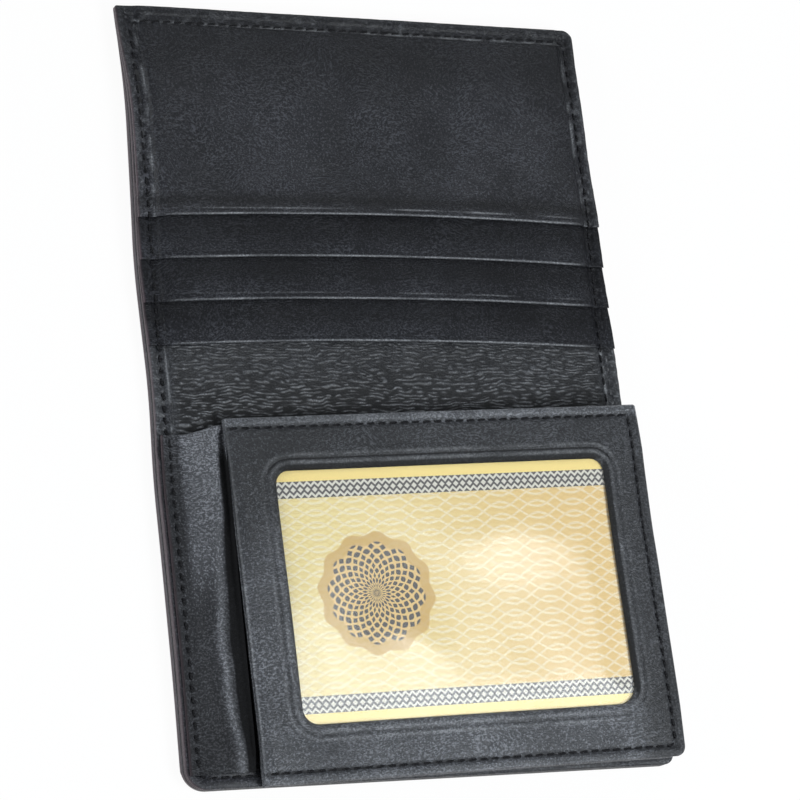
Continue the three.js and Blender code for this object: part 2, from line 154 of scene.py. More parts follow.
TOP_SLOPE = 0.1  # the flap falls this much towards the fold
END_SLOPE = 0.06  # and this much towards its other end
WINDOW_RADII = (3.4, 4.2, 3.0, 3.0)
WINDOW_SIDE = 9.8  # width of the frame beside the window
WINDOW_END = 11.8  # and above and below it
WINDOW_LIP = 1.6  # the turned edge of the window is rolled this far out
WINDOW_CREASE = 2.4
WINDOW_LINE = 3.3  # a second raised line outside the crease
FLAP_SHADE_Y = -50.0  # painted shade darkens the flap's front from here towards the fold
FLAP_SHADE_X = 43.0  # and from here towards its free edge
CARD_RADII = (3.0, 3.0, 3.0, 3.0)
SWELLS = ((26.0, -33.0, 16.0, 9.0, 0.85), (-6.0, -55.0, 9.0, 8.0, 0.7))  # place, reach and height on the film
GUSSET_RIDGE = ((-84, 2.1), (-77, 2.6), (-65, 4.1), (-56, 4.6), (-38, 3.2),
                (-15, 1.9))  # places along Y, and how far the strip's ridge lies from the flap there
GUSSET_TAB = 4.6  # width of the strip's sewn tab
GUSSET_THICKNESS = 0.7
GUSSET_HOLLOW = -28.0  # the strip is hollow from here in -Y
GUSSET_SHADE = -36.0  # and painted shade darkens it from here
GUSSET_RIDGE_LIT = -20.0  # its ridge carries a painted highlight from here
GUSSET_LIT = -45.0  # painted light makes the strip paler from here in +Y


# Small tools for shapes

def smoothstep(value):
    value = np.clip(value, 0.0, 1.0)
    return value * value * (3.0 - 2.0 * value)


def bell(distance, width):
    return np.exp(-(distance / width) ** 2)


def most(*values):
    return np.maximum.reduce(values)


def value_noise(seed, cell_x, cell_y, x, y):
    """Smooth random heights from -1 to 1, with one random value per cell."""
    size = 97
    middle = 40.0
    lattice = np.random.default_rng(seed).uniform(-1.0, 1.0, (size, size))
    u, v = x / cell_x + middle, y / cell_y + middle
    column, row = np.floor(u).astype(int), np.floor(v).astype(int)
    s, t = smoothstep(u - column), smoothstep(v - row)

    def along(line):
        return lattice[line % size, column % size] * (1 - s) + lattice[line % size, (column + 1) % size] * s

    return along(row) * (1 - t) + along(row + 1) * t


def patchy(level, swing, seed, cell_x, cell_y, x, y):
    """Random shares from 0 to 1 about a level."""
    return np.clip(level + swing * value_noise(seed, cell_x, cell_y, x, y), 0.0, 1.0)


def steps(low, high, step):
    return np.linspace(low, high, max(2, int(round((high - low) / step)) + 1))


def thinned(places, low=-np.inf, high=np.inf):
    """Places in order and within limits, without those that nearly coincide."""
    slack = 1e-6
    smallest_gap = 0.012
    places = np.unique(np.round(places, 3))
    places = places[(places >= low - slack) & (places <= high + slack)]
    return places[np.concatenate([[True], np.diff(places) > smallest_gap])]


RIM = np.array([0.0, 0.03, 0.1, 0.2, 0.34, 0.52, 0.75, 1.05, 1.45, 1.9])  # closer together towards an edge


def grade(low, high, step, extra=()):
    """Places for the lines of a grid, closer together at its rims and with extra ones where asked."""
    return thinned(np.concatenate([steps(low, high, step), low + RIM, high - RIM, extra]), low, high)


def rim_drop(depth, radius, height):
    """How far a surface falls at a rounded edge, by its distance from that edge."""
    inward = np.clip(1.0 - depth / radius, 0.0, 1.0)
    return height * (1.0 - np.sqrt(1.0 - inward ** 2))


SQUARE = (0.0, 0.0, 0.0, 0.0)  # radii of square corners


class Outline:
    """A rectangle with rounded corners. Radii are bottom left, bottom right, top right and top left."""

    def __init__(self, left, right, bottom, top, radii=SQUARE):
        self.left, self.right, self.bottom, self.top = left, right, bottom, top
        self.radii = radii

    def corner_inset(self, y, bottom_radius, top_radius):
        inset = np.zeros_like(y)
        for radius, reach in ((bottom_radius, self.bottom + bottom_radius - y),
                              (top_radius, y - self.top + top_radius)):
            reach = np.clip(reach, 0.0, radius)
            inset = np.maximum(inset, radius - np.sqrt(radius ** 2 - reach ** 2))
        return inset

    def row_ends(self, y):
        bottom_left, bottom_right, top_right, top_left = self.radii
        return (self.left + self.corner_inset(y, bottom_left, top_left),
                self.right - self.corner_inset(y, bottom_right, top_right))

    def from_sides(self, x):
        return np.minimum(x - self.left, self.right - x)

    def depth(self, x, y):
        """How far points lie inside the outline."""
        bottom_left, bottom_right, top_right, top_left = self.radii
        on_left = x < (self.left + self.right) / 2
        is_low = y < (self.bottom + self.top) / 2
        radius = np.where(on_left, np.where(is_low, bottom_left, top_left),
                          np.where(is_low, bottom_right, top_right))
        across = np.where(on_left, self.left + radius - x, x - self.right + radius)
        along = np.where(is_low, self.bottom + radius - y, y - self.top + radius)
        outside = np.hypot(np.maximum(across, 0.0), np.maximum(along, 0.0))
        inside = np.minimum(np.maximum(across, along), 0.0)
        return radius - outside - inside

    def grown(self, reach):
        radii = tuple(max(radius + reach, 0.05) for radius in self.radii)
        return Outline(self.left - reach, self.right + reach, self.bottom - reach, self.top + reach, radii)


def outline_of(low, high, radii=SQUARE):
    return Outline(low[0], high[0], low[1], high[1], radii)


def face(outline, level, radius, drop):
    """Height function of a level face that falls at its rounded edges."""
    def height(x, y):
        return level - rim_drop(outline.depth(x, y), radius, drop)
    return height


SHARP_ANGLE = math.radians(62)  # faces that meet at a larger angle make a sharp edge
RAW_WIDTH = 0.3  # a cut edge shows about this far in


def make_object(name, points, faces, rests, marks, material):
    """Writes a mesh with its places at rest and its marks, which the materials read."""
    mesh = bpy.data.meshes.new(name)
    mesh.from_pydata((points * MM).tolist(), [], faces)
    mesh.validate()
    mesh.polygons.foreach_set("use_smooth", np.ones(len(mesh.polygons), bool))
    mesh.set_sharp_from_angle(angle=SHARP_ANGLE)
    for attribute, values in (("rest", rests), ("marks", marks)):
        layer = mesh.attributes.new(attribute, "FLOAT_VECTOR", "POINT")
        layer.data.foreach_set("vector", np.asarray(values, np.float32).ravel())
    mesh.materials.append(material)
    piece = bpy.data.objects.new(name, mesh)
    bpy.context.scene.collection.objects.link(piece)
    return piece


def grid_faces(rows, columns, first, flipped):
    lower = (np.arange(rows - 1)[:, None] * columns + np.arange(columns - 1)[None, :]).ravel() + first
    quads = np.stack([lower, lower + 1, lower + columns + 1, lower + columns], axis=1)
    return quads[:, ::-1] if flipped else quads


def slab(name, outline, columns, rows, top, bottom, material, place, wear_and_highlights=None, fold=None, raw=False):
    """A closed sheet between two height functions, on a grid that follows a rounded outline.

    The marks are rubbing and painted highlights in X, raw edge along the open side in Y and painted shade in
    Z.
    """
    low_ends, high_ends = outline.row_ends(rows)
    share = (columns - outline.left) / (outline.right - outline.left)
    x = low_ends[:, None] + (high_ends - low_ends)[:, None] * share[None, :]
    y = np.repeat(rows[:, None], len(share), axis=1)
    size = x.size
    upper = np.stack([x, y, top(x, y)], axis=2).reshape(-1, 3)
    lower = np.stack([x, y, bottom(x, y)], axis=2).reshape(-1, 3)
    points = np.concatenate([upper, lower])
    index = np.arange(size).reshape(x.shape)
    loop = np.concatenate([index[0, :-1], index[:-1, -1], index[-1, :0:-1], index[:0:-1, 0]])
    after = np.roll(loop, -1)
    faces = np.concatenate([grid_faces(*x.shape, 0, False), grid_faces(*x.shape, size, True),
                            np.stack([loop, loop + size, after + size, after], axis=1)])
    edge = raw * bell(x - low_ends[:, None], RAW_WIDTH)
    # X holds rubbing and painted highlights, Z holds painted shade
    rubbed_and_lit = wear_and_highlights(x, y) if wear_and_highlights else rubbed_rim(outline.depth(x, y))
    folded = fold(x, y) if fold else np.zeros_like(x)
    marks = np.stack([rubbed_and_lit, edge, folded], axis=2).reshape(-1, 3)
    under = marks * (0.0, 1.0, 0.0)
    return make_object(name, place(points), faces.tolist(), points, np.concatenate([marks, under]), material)


def lengths_along(points):
    return np.concatenate([[0.0], np.cumsum(np.linalg.norm(np.diff(points, axis=0), axis=1))])


def rounded_path(corners, radius, step):
    """Points along a line of straight stretches with rounded corners."""
    corners = [np.array(corner, float) for corner in corners]
    points = [corners[0]]
    for before, corner, after in zip(corners, corners[1:], corners[2:]):
        towards = (before - corner) / np.linalg.norm(before - corner)
        away = (after - corner) / np.linalg.norm(after - corner)
        centre = corner + (towards + away) * radius
        for turn in np.linspace(0.0, math.pi / 2, 9):
            points.append(centre - away * radius * math.cos(turn) - towards * radius * math.sin(turn))
    points = np.array(points + [corners[-1]])
    lengths = lengths_along(points)
    at = np.arange(0.0, lengths[-1], step)
    return np.stack([np.interp(at, lengths, points[:, axis]) for axis in (0, 1)], axis=1)


# Materials

WORN_AND_LIT = (0.3, 0.31, 0.33, 1.0)  # leather rubbed pale, and the colour of painted highlights
RAW_EDGE = (0.07, 0.052, 0.06, 1.0)  # cut leather
PAINTED_SHADE = (0.003, 0.003, 0.0035, 1.0)  # near-black painted shade
WEAVE_PITCH = 0.34
TWIST_PITCH = 0.55
GOLD = (0.8, 0.56, 0.22, 1.0)
PALE_GOLD = (0.87, 0.73, 0.33, 1.0)
DEEP_GOLD = (0.60, 0.36, 0.08, 1.0)
YELLOW = (0.97, 0.76, 0.26, 1.0)
CREAM = (0.92, 0.86, 0.66, 1.0)
GREY = (0.72, 0.69, 0.6, 1.0)
INK = (0.07, 0.062, 0.06, 1.0)
STRIP_DEPTH = 2.3  # plain strip of the card along the window's edge
BAND_DEPTH = 3.5  # patterned band beside that strip
LOZENGE_WIDTH = 1.6
LOZENGE_PITCH = 1.25
ROSE_RADIUS = 10.4
HALO_RADIUS = 12.6
ROSE_PITCH = 2.1
PETALS = 12.0


class Graph:
    """Builds the nodes of one material."""

    def __init__(self, name):
        self.material = bpy.data.materials.new(name)
        self.material.use_nodes = True
        self.tree = self.material.node_tree
        self.tree.nodes.clear()

    def add(self, kind, inputs=(), **settings):
        node = self.tree.nodes.new(kind)
        for key, value in settings.items():
            setattr(node, key, value)
        for key, value in dict(inputs).items():
            if isinstance(value, bpy.types.NodeSocket):
                self.tree.links.new(value, node.inputs[key])
            else:
                node.inputs[key].default_value = value
        return node

    def math(self, operation, *values):
        return self.add("ShaderNodeMath", enumerate(values), operation=operation).outputs[0]

    def times(self, first, second):
        return self.math("MULTIPLY", first, second)

    def plus(self, first, second):
        return self.math("ADD", first, second)

    def minus(self, first, second):
        return self.math("SUBTRACT", first, second)

    def most(self, first, second):
        return self.math("MAXIMUM", first, second)

    def sine(self, value, period):
        return self.math("SINE", self.times(value, 2 * math.pi / period))

    def vector(self, operation, first, second):
        return self.add("ShaderNodeVectorMath", {0: first, 1: second}, operation=operation).outputs[0]

    def attribute(self, name):
        return self.add("ShaderNodeAttribute", attribute_name=name).outputs["Vector"]

    def split(self, vector):
        return self.add("ShaderNodeSeparateXYZ", {0: vector}).outputs

    def noise(self, vector, scale, detail=2.0, roughness=0.5, output="Fac"):
        inputs = {"Vector": vector, "Scale": scale, "Detail": detail, "Roughness": roughness}
        return self.add("ShaderNodeTexNoise", inputs).outputs[output]

    def smooth(self, value, low, high):
        inputs = {"Value": value, "From Min": low, "From Max": high}
        return self.add("ShaderNodeMapRange", inputs, interpolation_type="SMOOTHSTEP").outputs[0]

    def between(self, value, low, high):
        return self.add("ShaderNodeMapRange", {"Value": value, "To Min": low, "To Max": high}).outputs[0]

    def mix(self, factor, first, second):
        return self.add("ShaderNodeMix", {0: factor, 6: first, 7: second}, data_type="RGBA").outputs[2]

    def bump(self, height, distance):
        inputs = {"Height": height, "Distance": distance, "Strength": 1.0}
        return self.add("ShaderNodeBump", inputs).outputs[0]

    def output(self, shader):
        node = self.add("ShaderNodeOutputMaterial")
        self.tree.links.new(shader.outputs[0], node.inputs[0])
        return self.material

    def finish(self, **inputs):
        inputs = {key.replace("_", " "): value for key, value in inputs.items()}
        return self.output(self.add("ShaderNodeBsdfPrincipled", inputs))


def leather_material(name, grain, crease, dark, light, index):
    """Black grained leather. Grain and crease are the bump heights of its pores and of its fine lines."""
    graph = Graph(name)
    rest = graph.attribute("rest")
    marks = graph.split(graph.attribute("marks"))
    drift = graph.noise(rest, 0.06, 1.0, output="Color")
    wander = graph.vector("MULTIPLY", graph.vector("SUBTRACT", drift, (0.5, 0.5, 0.5)), (14.0, 14.0, 14.0))
    place = graph.vector("ADD", rest, wander)
    stretched = graph.vector("MULTIPLY", place, (1.0, 1.4, 1.4))
    cells = graph.add("ShaderNodeTexVoronoi", {"Vector": stretched, "Scale": 1.6, "Randomness": 1.0},
                      feature="DISTANCE_TO_EDGE")
    pebble = graph.smooth(cells.outputs["Distance"], 0.0, 0.4)
    lines = graph.smooth(graph.noise(graph.vector("MULTIPLY", place, (1.2, 2.8, 2.8)), 1.0), 0.48, 0.68)
    pores = graph.noise(rest, 2.3, 2.0, 0.6)
    blotch = graph.smooth(graph.noise(rest, 0.05), 0.3, 0.7)
    patch = graph.smooth(graph.noise(place, 0.085), 0.35, 0.65)
    creases = graph.times(lines, graph.between(patch, 0.15, 1.0))
    height = graph.plus(graph.times(creases, crease), graph.times(pebble, grain * 0.5))
    height = graph.plus(height, graph.times(pores, grain * 2.0))
    # pale flecks on the pores and fine creases are painted glints of the grain
    grain_glints = graph.most(graph.smooth(pores, 0.5, 0.7), creases)
    # the tone also varies in random blotches, partly the leather's own and partly painted patches of sheen
    tone = graph.times(graph.math("MULTIPLY_ADD", grain_glints, 0.8, 0.2), graph.between(blotch, 0.7, 1.15))
    colour = graph.mix(tone, dark, light)
    # paler where the leather is rubbed, and painted highlights, by the X mark
    colour = graph.mix(graph.times(marks["X"], graph.between(grain_glints, 0.6, 1.6)), colour, WORN_AND_LIT)
    colour = graph.mix(marks["Y"], colour, RAW_EDGE)
    # painted shade by the Z mark
    colour = graph.mix(marks["Z"], colour, PAINTED_SHADE)
    roughness = graph.between(graph.times(pebble, blotch), 0.42, 0.28)
    roughness = graph.most(roughness, graph.times(marks["Z"], 0.8))
    return graph.finish(Base_Color=colour, Roughness=roughness, Normal=graph.bump(height, 0.1 * MM),
                        IOR=index, Sheen_Weight=0.03, Sheen_Roughness=0.4)


def cloth_material():
    """Fine black woven lining."""
    graph = Graph("lining_cloth")
    rest = graph.attribute("rest")
    x, y, _ = graph.split(rest)
    weave = graph.times(graph.sine(x, WEAVE_PITCH), graph.sine(y, WEAVE_PITCH))
    tone = graph.plus(graph.between(weave, 0.3, 0.7), graph.between(graph.noise(rest, 0.6, 3.0), -0.2, 0.2))
    colour = graph.mix(tone, (0.007, 0.007, 0.008, 1.0), (0.02, 0.02, 0.023, 1.0))
    return graph.finish(Base_Color=colour, Roughness=0.85, Normal=graph.bump(weave, 0.03 * MM),
                        Sheen_Weight=0.15)


def thread_material():
    """Twisted black thread; its places at rest run along the thread in X and round it in Y."""
    graph = Graph("thread")
    x, y, _ = graph.split(graph.attribute("rest"))
    strand = graph.math("SINE", graph.plus(graph.times(x, 2 * math.pi / TWIST_PITCH), graph.times(y, 2.0)))
    colour = graph.mix(graph.between(strand, 0.0, 1.0), (0.003, 0.003, 0.004, 1.0),
                       (0.016, 0.016, 0.019, 1.0))
    return graph.finish(Base_Color=colour, Roughness=0.5, Normal=graph.bump(strand, 0.05 * MM), IOR=1.3)


def film_material():
    """Clear flexible film with faint scuffs."""
    graph = Graph("clear_film")
    rest = graph.attribute("rest")
    scuff = graph.noise(graph.vector("MULTIPLY", rest, (1.0, 0.3, 1.0)), 0.9, 5.0, 0.65)
    normal = graph.bump(graph.noise(rest, 0.2, 1.0), 0.1 * MM)
    return graph.finish(Base_Color=(0.8, 0.81, 0.82, 1.0), Roughness=graph.between(scuff, 0.1, 0.2),
                        Normal=normal, Alpha=0.08, IOR=3.0, Specular_IOR_Level=1.0, Coat_Weight=1.0,
                        Coat_Roughness=0.04)


def card_material(window):
    """A gold card: fine wavy lines, two bands of lozenges and a rosette."""
    graph = Graph("printed_card")
    x, y, _ = graph.split(graph.attribute("rest"))
    across = graph.minus(x, (window.left + window.right) / 2)
    along = graph.minus(y, (window.bottom + window.top) / 2)
    half_height = (window.top - window.bottom) / 2
    half_width = (window.right - window.left) / 2

    def crossing(middle, swing, pitch):
        """The higher of two sets of waves that a swing shifts to either side."""
        return graph.most(graph.sine(graph.plus(middle, swing), pitch),
                          graph.sine(graph.minus(middle, swing), pitch))

    def wavy_lines(pitch, swing, length, strength):
        bent = graph.times(graph.sine(across, length), swing)
        return graph.times(graph.smooth(crossing(along, bent, pitch), 0.55, 1.0), strength)

    def inside(distance, radius):
        return graph.minus(1.0, graph.smooth(distance, radius, radius + 0.3))

    ground = graph.mix(graph.smooth(across, -half_width, half_width), PALE_GOLD, GOLD)
    colour = graph.mix(wavy_lines(2.6, 1.9, 17.0, 0.55), ground, CREAM)
    colour = graph.mix(wavy_lines(1.3, 0.9, 9.0, 0.25), colour, DEEP_GOLD)

    rose_x = graph.plus(across, half_width * 0.48)
    radius = graph.math("SQRT", graph.plus(graph.math("POWER", rose_x, 2.0), graph.math("POWER", along, 2.0)))
    angle = graph.math("ARCTAN2", along, rose_x)
    petals = graph.times(graph.math("SINE", graph.times(angle, PETALS)), 0.9)
    rose = graph.mix(graph.smooth(crossing(radius, petals, ROSE_PITCH), 0.3, 0.8), INK, GOLD)
    rose_edge = graph.plus(radius, graph.times(petals, 0.5))
    colour = graph.mix(graph.times(inside(rose_edge, HALO_RADIUS), 0.8), colour, DEEP_GOLD)
    colour = graph.mix(inside(rose_edge, ROSE_RADIUS), colour, rose)

    from_middle = graph.math("ABSOLUTE", along)
    band_end = half_height - STRIP_DEPTH
    band_start = band_end - BAND_DEPTH
    sideways = graph.minus(graph.math("PINGPONG", x, LOZENGE_WIDTH), LOZENGE_WIDTH / 2)
    upwards = graph.minus(from_middle, (band_start + band_end) / 2)
    lozenge = graph.plus(graph.math("ABSOLUTE", sideways), graph.math("ABSOLUTE", upwards))
    band = graph.mix(graph.smooth(graph.sine(lozenge, LOZENGE_PITCH), -0.4, 0.4), INK, GREY)
    colour = graph.mix(graph.smooth(from_middle, band_start - 0.1, band_start), colour, band)
    colour = graph.mix(graph.smooth(from_middle, band_end, band_end + 0.1), colour, YELLOW)
    return graph.finish(Base_Color=colour, Roughness=0.45, Coat_Weight=0.2, Coat_Roughness=0.2)


# copies of one black leather: the strips' copy is darker and duller, as painted shade, and the flap's and the
# gusset's are paler, as painted light
POCKET_LEATHER = leather_material("leather_pocket", 0.6, 1.0, (0.002, 0.002, 0.0028, 1.0),
                                  (0.062, 0.064, 0.076, 1.0), 1.33)
SHADED_STRIP_LEATHER = leather_material("leather_strip_shaded", 0.6, 1.0, (0.002, 0.002, 0.0028, 1.0),
                                 (0.05, 0.052, 0.062, 1.0), 1.24)
PANEL_LEATHER = leather_material("leather_panel", 0.5, 0.4, (0.004, 0.0042, 0.0053, 1.0),
                                 (0.06, 0.063, 0.072, 1.0), 1.38)
LIT_FLAP_LEATHER = leather_material("leather_flap_lit", 0.9, 0.4, (0.005, 0.0054, 0.0068, 1.0),
                                (0.17, 0.178, 0.2, 1.0), 1.4)
LIT_GUSSET_LEATHER = leather_material("leather_gusset", 0.9, 0.4, (0.004, 0.0043, 0.0055, 1.0),
                                  (0.2, 0.206, 0.23, 1.0), 1.25)
CLOTH = cloth_material()
THREAD = thread_material()
FILM = film_material()


# Shapes that the layers share

cover_outline = Outline(LEFT, RIGHT, -END, END, CORNER_RADII)
inner_radii = (CORNER_RADII[0] - 0.5, CORNER_RADII[1], CORNER_RADII[2], CORNER_RADII[3] - 0.4)
inner_outline = Outline(INNER_LEFT, RIGHT, -END, END, inner_radii)


def eased(y, places, reach=6.0, count=7):
    """A soft line through a few places along Y."""
    offsets = np.linspace(-reach, reach, count)
    return np.mean([np.interp(y + offset, *zip(*places)) for offset in offsets], axis=0)


def settled(points):
    """Lets the open wallet lie as soft leather does: its long edges wander and its layers rise and fall."""
    x, y, z = points.T
    inner = smoothstep((z - MOUTH_HEM_TOP) / (PANEL_BOTTOM - MOUTH_HEM_TOP))
    left_wave = eased(y, LEFT_WAVE) - 0.9 * inner * smoothstep((y - SPREAD_FROM) / 30.0)
    shift = left_wave * smoothstep((LEFT + WAVE_REACH - x) / WAVE_REACH)
    shift = shift + eased(y, RIGHT_WAVE) * smoothstep((x - RIGHT + WAVE_REACH) / WAVE_REACH)
    stretch = smoothstep((y - STRETCH_FROM) / 40.0) * (1.1 - 0.3 * x / RIGHT)
    heave = 0.22 * value_noise(11, 34.0, 26.0, x, y) + 0.1 * value_noise(12, 13.0, 11.0, x, y)
    sag = 0.45 * inner * smoothstep((LEFT + 8.0 - x) / 7.0)
    return np.stack([x + shift, y + stretch, z + heave * smoothstep(z / PANEL_TOP) - sag], axis=1)


def stitch_holes(along):
    """One at the holes of a row of stitches and nought between them."""
    return 0.5 + 0.5 * np.cos(2 * math.pi * (along / STITCH_PITCH + 0.5))


def seam_groove(outline, x, y):
    """The leather is drawn in along a row of stitches, most of all at its holes."""
    along = np.where(outline.from_sides(x) < END - np.abs(y), y, x)
    return bell(outline.depth(x, y) - STITCH_INSET, 0.5) * (0.08 + 0.3 * stitch_holes(along))


def border_relief(x, y):
    """Stitch row, puckers and crease along the sewn border of the inner layers."""
    depth = inner_outline.depth(x, y)
    crease = 0.16 * bell(depth - BORDER_WIDTH, 0.22) * (1.0 + 0.7 * value_noise(44, 5.0, 5.0, x, y))
    puff = 0.1 * bell(depth - 1.1, 0.6)
    pucker = 0.09 * value_noise(45, 1.5, 1.5, x, y) * smoothstep((BORDER_WIDTH + 0.8 - depth) / 1.2)
    return puff + pucker - seam_groove(inner_outline, x, y) - crease


def rubbed_rim(depth):
    """Leather is rubbed slightly pale along its rim."""
    return 0.12 * bell(depth - 0.5, 0.3)


def border_wear_and_highlights(x, y):
    """A border is rubbed pale along its rim, with a broken painted highlight along its crease and painted
    glints in specks between them.
    """
    depth = inner_outline.depth(x, y)
    crease = 0.6 * patchy(0.4, 1.2, 46, 2.2, 2.2, x, y) * bell(depth - BORDER_WIDTH + 0.3, 0.26)
    specks = 0.22 * patchy(-0.4, 2.0, 47, 0.8, 0.8, x, y) * smoothstep((BORDER_WIDTH - depth) / 0.5)
    return most(rubbed_rim(depth), crease, specks)


BORDER_LINES = np.concatenate([STITCH_INSET + np.array([-0.6, -0.3, 0.0, 0.3, 0.6]),
                               BORDER_WIDTH + np.array([-0.5, -0.25, -0.1, 0.0, 0.1, 0.25, 0.5])])


def border_columns(left, right, step, extra=()):
    """Columns from side to side, with some for the stitches and the crease at either side."""
    return grade(left, right, step, np.concatenate([left + BORDER_LINES, right - BORDER_LINES, extra]))


def end_rows(sign):
    """Rows for the rim, the stitches and the crease at one end of the wallet."""
    return sign * (END - np.concatenate([RIM, BORDER_LINES]))


BEND_START = 0.6  # the folds begin this far from the middle of the spine
BEND_END = 2 * FOLD - BEND_START
SIGN = {"lower": -1.0, "upper": 1.0}  # side of the fold on which each half lies


def bend(piece, half):
    """Bakes a piece's placing into its mesh, the same for either half; the piece is not bent."""
    if half == "upper":
        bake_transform(piece)
    else:
        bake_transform(piece)


def half_rows(half, step, extra=()):
    """Rows from the middle of the spine to one end, half a millimetre apart where the spine bends."""
    sign = SIGN[half]
    near = steps(0.0, BEND_END + 1.0, 0.5)
    return thinned(np.concatenate([sign * near, end_rows(sign), sign * steps(0.0, END, step), extra]))


def half_nodes(half, *parts):
    """Nodes of one half. The lower half's pieces also stand for those of the spine."""
    nodes = [f"{part}_{half}" for part in parts]
    if half == "lower":
        nodes += [f"{part}_spine" for part in parts]
    return nodes


def fit(piece, nodes, body=None):
    """Ties a piece to its body, if one is given, and hides the nodes that it stands for."""
    if body:
        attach(piece, body)
    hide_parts(*nodes)
    return piece


# The cover and the layers inside it

def cover_level(x, y):
    """Upper face of the cover: its hems are turned in round the edges."""
    from_sewn = np.minimum(RIGHT - x, END - np.abs(y))
    sewn = smoothstep((HEM_WIDTH - from_sewn) / 0.4 + 0.5)
    mouth = smoothstep((MOUTH_HEM_WIDTH - (x - LEFT)) / 0.4 + 0.5)
    return COVER_TOP + np.maximum((HEM_TOP - COVER_TOP) * sewn, (MOUTH_HEM_TOP - COVER_TOP) * mouth)


def add_cover(half):
    def top(x, y):
        level = cover_level(x, y)
        return level - rim_drop(cover_outline.depth(x, y), 0.8, 0.42 * level)

    def bottom(x, y):
        rim = rim_drop(cover_outline.depth(x, y), 0.9, 0.45 * cover_level(x, y))
        return rim + seam_groove(cover_outline, x, y)

    hem_lines = np.array([LEFT + MOUTH_HEM_WIDTH, RIGHT - HEM_WIDTH])
    columns = border_columns(LEFT, RIGHT, 2.0, np.concatenate([hem_lines - 0.2, hem_lines + 0.2]))
    piece = slab(f"leather_cover_{half}", cover_outline, columns, half_rows(half, 0.65), top, bottom,
                 PANEL_LEATHER, settled, raw=True)
    bend(piece, half)
    return fit(piece, half_nodes(half, "cover", "side_hem", "mouth_hem") + [f"end_hem_{half}"])


def add_cloth(name, outline, low, high, columns, rows, nodes):
    """A cloth layer that ripples slightly between its two faces."""
    def rippled(level):
        return lambda x, y: level + 0.04 * value_noise(21, 6.0, 6.0, x, y)

    piece = slab(name, outline, columns, rows, rippled(high), rippled(low), CLOTH, settled)
    return fit(piece, nodes)


def add_linings(half):
    low, high = box_of(f"cover_lining_{half}")
    reach = max(high[1], -low[1])
    columns = steps(low[0], high[0], 3.0)
    rows = np.concatenate([steps(0.0, BEND_END, 0.75), steps(BEND_END + 2.0, reach, 3.0)])
    outline = Outline(low[0], high[0], -reach, reach)
    piece = add_cloth(f"cloth_cover_{half}", outline, low[2], high[2], columns, np.sort(SIGN[half] * rows),
                      half_nodes(half, "cover_lining"))
    bend(piece, half)

    low, high = box_of(f"panel_lining_{half}")
    piece = add_cloth(f"cloth_panel_{half}", inner_outline, low[2], high[2], grade(INNER_LEFT, RIGHT, 3.0),
                      half_rows(half, 3.0), half_nodes(half, "panel_lining"))
    bend(piece, half)


def wrinkles(x, y):
    """Fine wrinkles along the fold, broken and wandering, as leather shows where it is often bent."""
    wander = 0.9 * value_noise(31, 9.0, 6.0, x, y) + 0.4 * value_noise(32, 1.7, 1.5, x, y)
    ridge = 0.5 + 0.5 * np.sin(2 * math.pi * (y + wander) / WRINKLE_PITCH)
    return ridge * patchy(0.45, 1.2, 33, 1.15, 0.45, x, y)


def add_inner_panel(half):
    mouth = box_of("card_pocket_4")[0][1]

    def bent_zone(x, y):
        """Where the leather is wrinkled, most of all towards the flap."""
        inside = smoothstep((inner_outline.depth(x, y) - 3.6) / 2.5)
        growth = 0.55 + 0.45 * smoothstep((6.0 - y) / 10.0)
        return growth * inside * smoothstep((y - WRINKLED_FROM) / 6.0) * smoothstep((mouth + 4.0 - y) / 5.0)

    def top(x, y):
        zone = bent_zone(x, y)
        folded = WRINKLE_HEIGHT * zone * wrinkles(x, y) + 0.25 * zone * value_noise(34, 16.0, 7.0, x, y)
        return PANEL_TOP + border_relief(x, y) + folded - rim_drop(inner_outline.depth(x, y), 0.5, 0.4)

    def wear_and_highlights(x, y):
        # the border's marks, and painted highlights on the crests of the wrinkles
        return np.maximum(border_wear_and_highlights(x, y), 0.4 * bent_zone(x, y) * wrinkles(x, y) ** 2)

    def fold(x, y):
        """Painted shade between the wrinkles."""
        return 0.85 * bent_zone(x, y) * smoothstep(1.0 - 2.0 * wrinkles(x, y))

    reach = mouth + 3.0 if half == "upper" else -WRINKLED_FROM - 1.0
    fine = SIGN[half] * steps(0.0, reach, WRINKLE_STEP)
    columns = border_columns(INNER_LEFT, RIGHT, 0.36)
    bottom = face(inner_outline, PANEL_BOTTOM, 0.4, -0.3)
    piece = slab(f"leather_panel_{half}", inner_outline, columns, half_rows(half, 2.0, fine), top, bottom,
                 PANEL_LEATHER, settled, wear_and_highlights, fold, raw=True)
    bend(piece, half)
    return fit(piece, half_nodes(half, "inner_panel"))


# Pockets

STRIP_NUMBERS = (4, 3, 2)  # from the fold outwards
MOUTH_ROWS = np.concatenate([RIM, steps(0.0, 2.6, 0.1), steps(2.6, 5.0, 0.4)])


def pinched(x, z):
    """Height of the pocket stack, pressed flat where the border is sewn."""
    press = 0.3 * smoothstep((BORDER_WIDTH + 1.2 - inner_outline.from_sides(x)) / 1.6)
    return PANEL_TOP + (z - PANEL_TOP) * (1.0 - press)


def between_borders(x, reach):
    """One between the sewn borders and nought on them."""
    return smoothstep((inner_outline.from_sides(x) - BORDER_WIDTH) / reach)


def mouth_breaks(x):
    """The second line beside a mouth comes and goes."""
    return patchy(0.4, 0.9, 42, 9.0, 1.0, x, np.zeros_like(x))


def mouth_relief(away, x, creased):
    """A rolled edge at a pocket's mouth and a crease beside it. Away is the distance from the mouth."""
    roll = rim_drop(away, MOUTH_ROLL, 0.45) - rim_drop(away, 0.3, 0.3)
    crease = creased * 0.16 * mouth_breaks(x) * bell(away - CREASE_INSET + 0.35, 0.2)
    return between_borders(x, 1.2) * (0.08 * bell(away - 0.7, 0.4) - roll - crease)


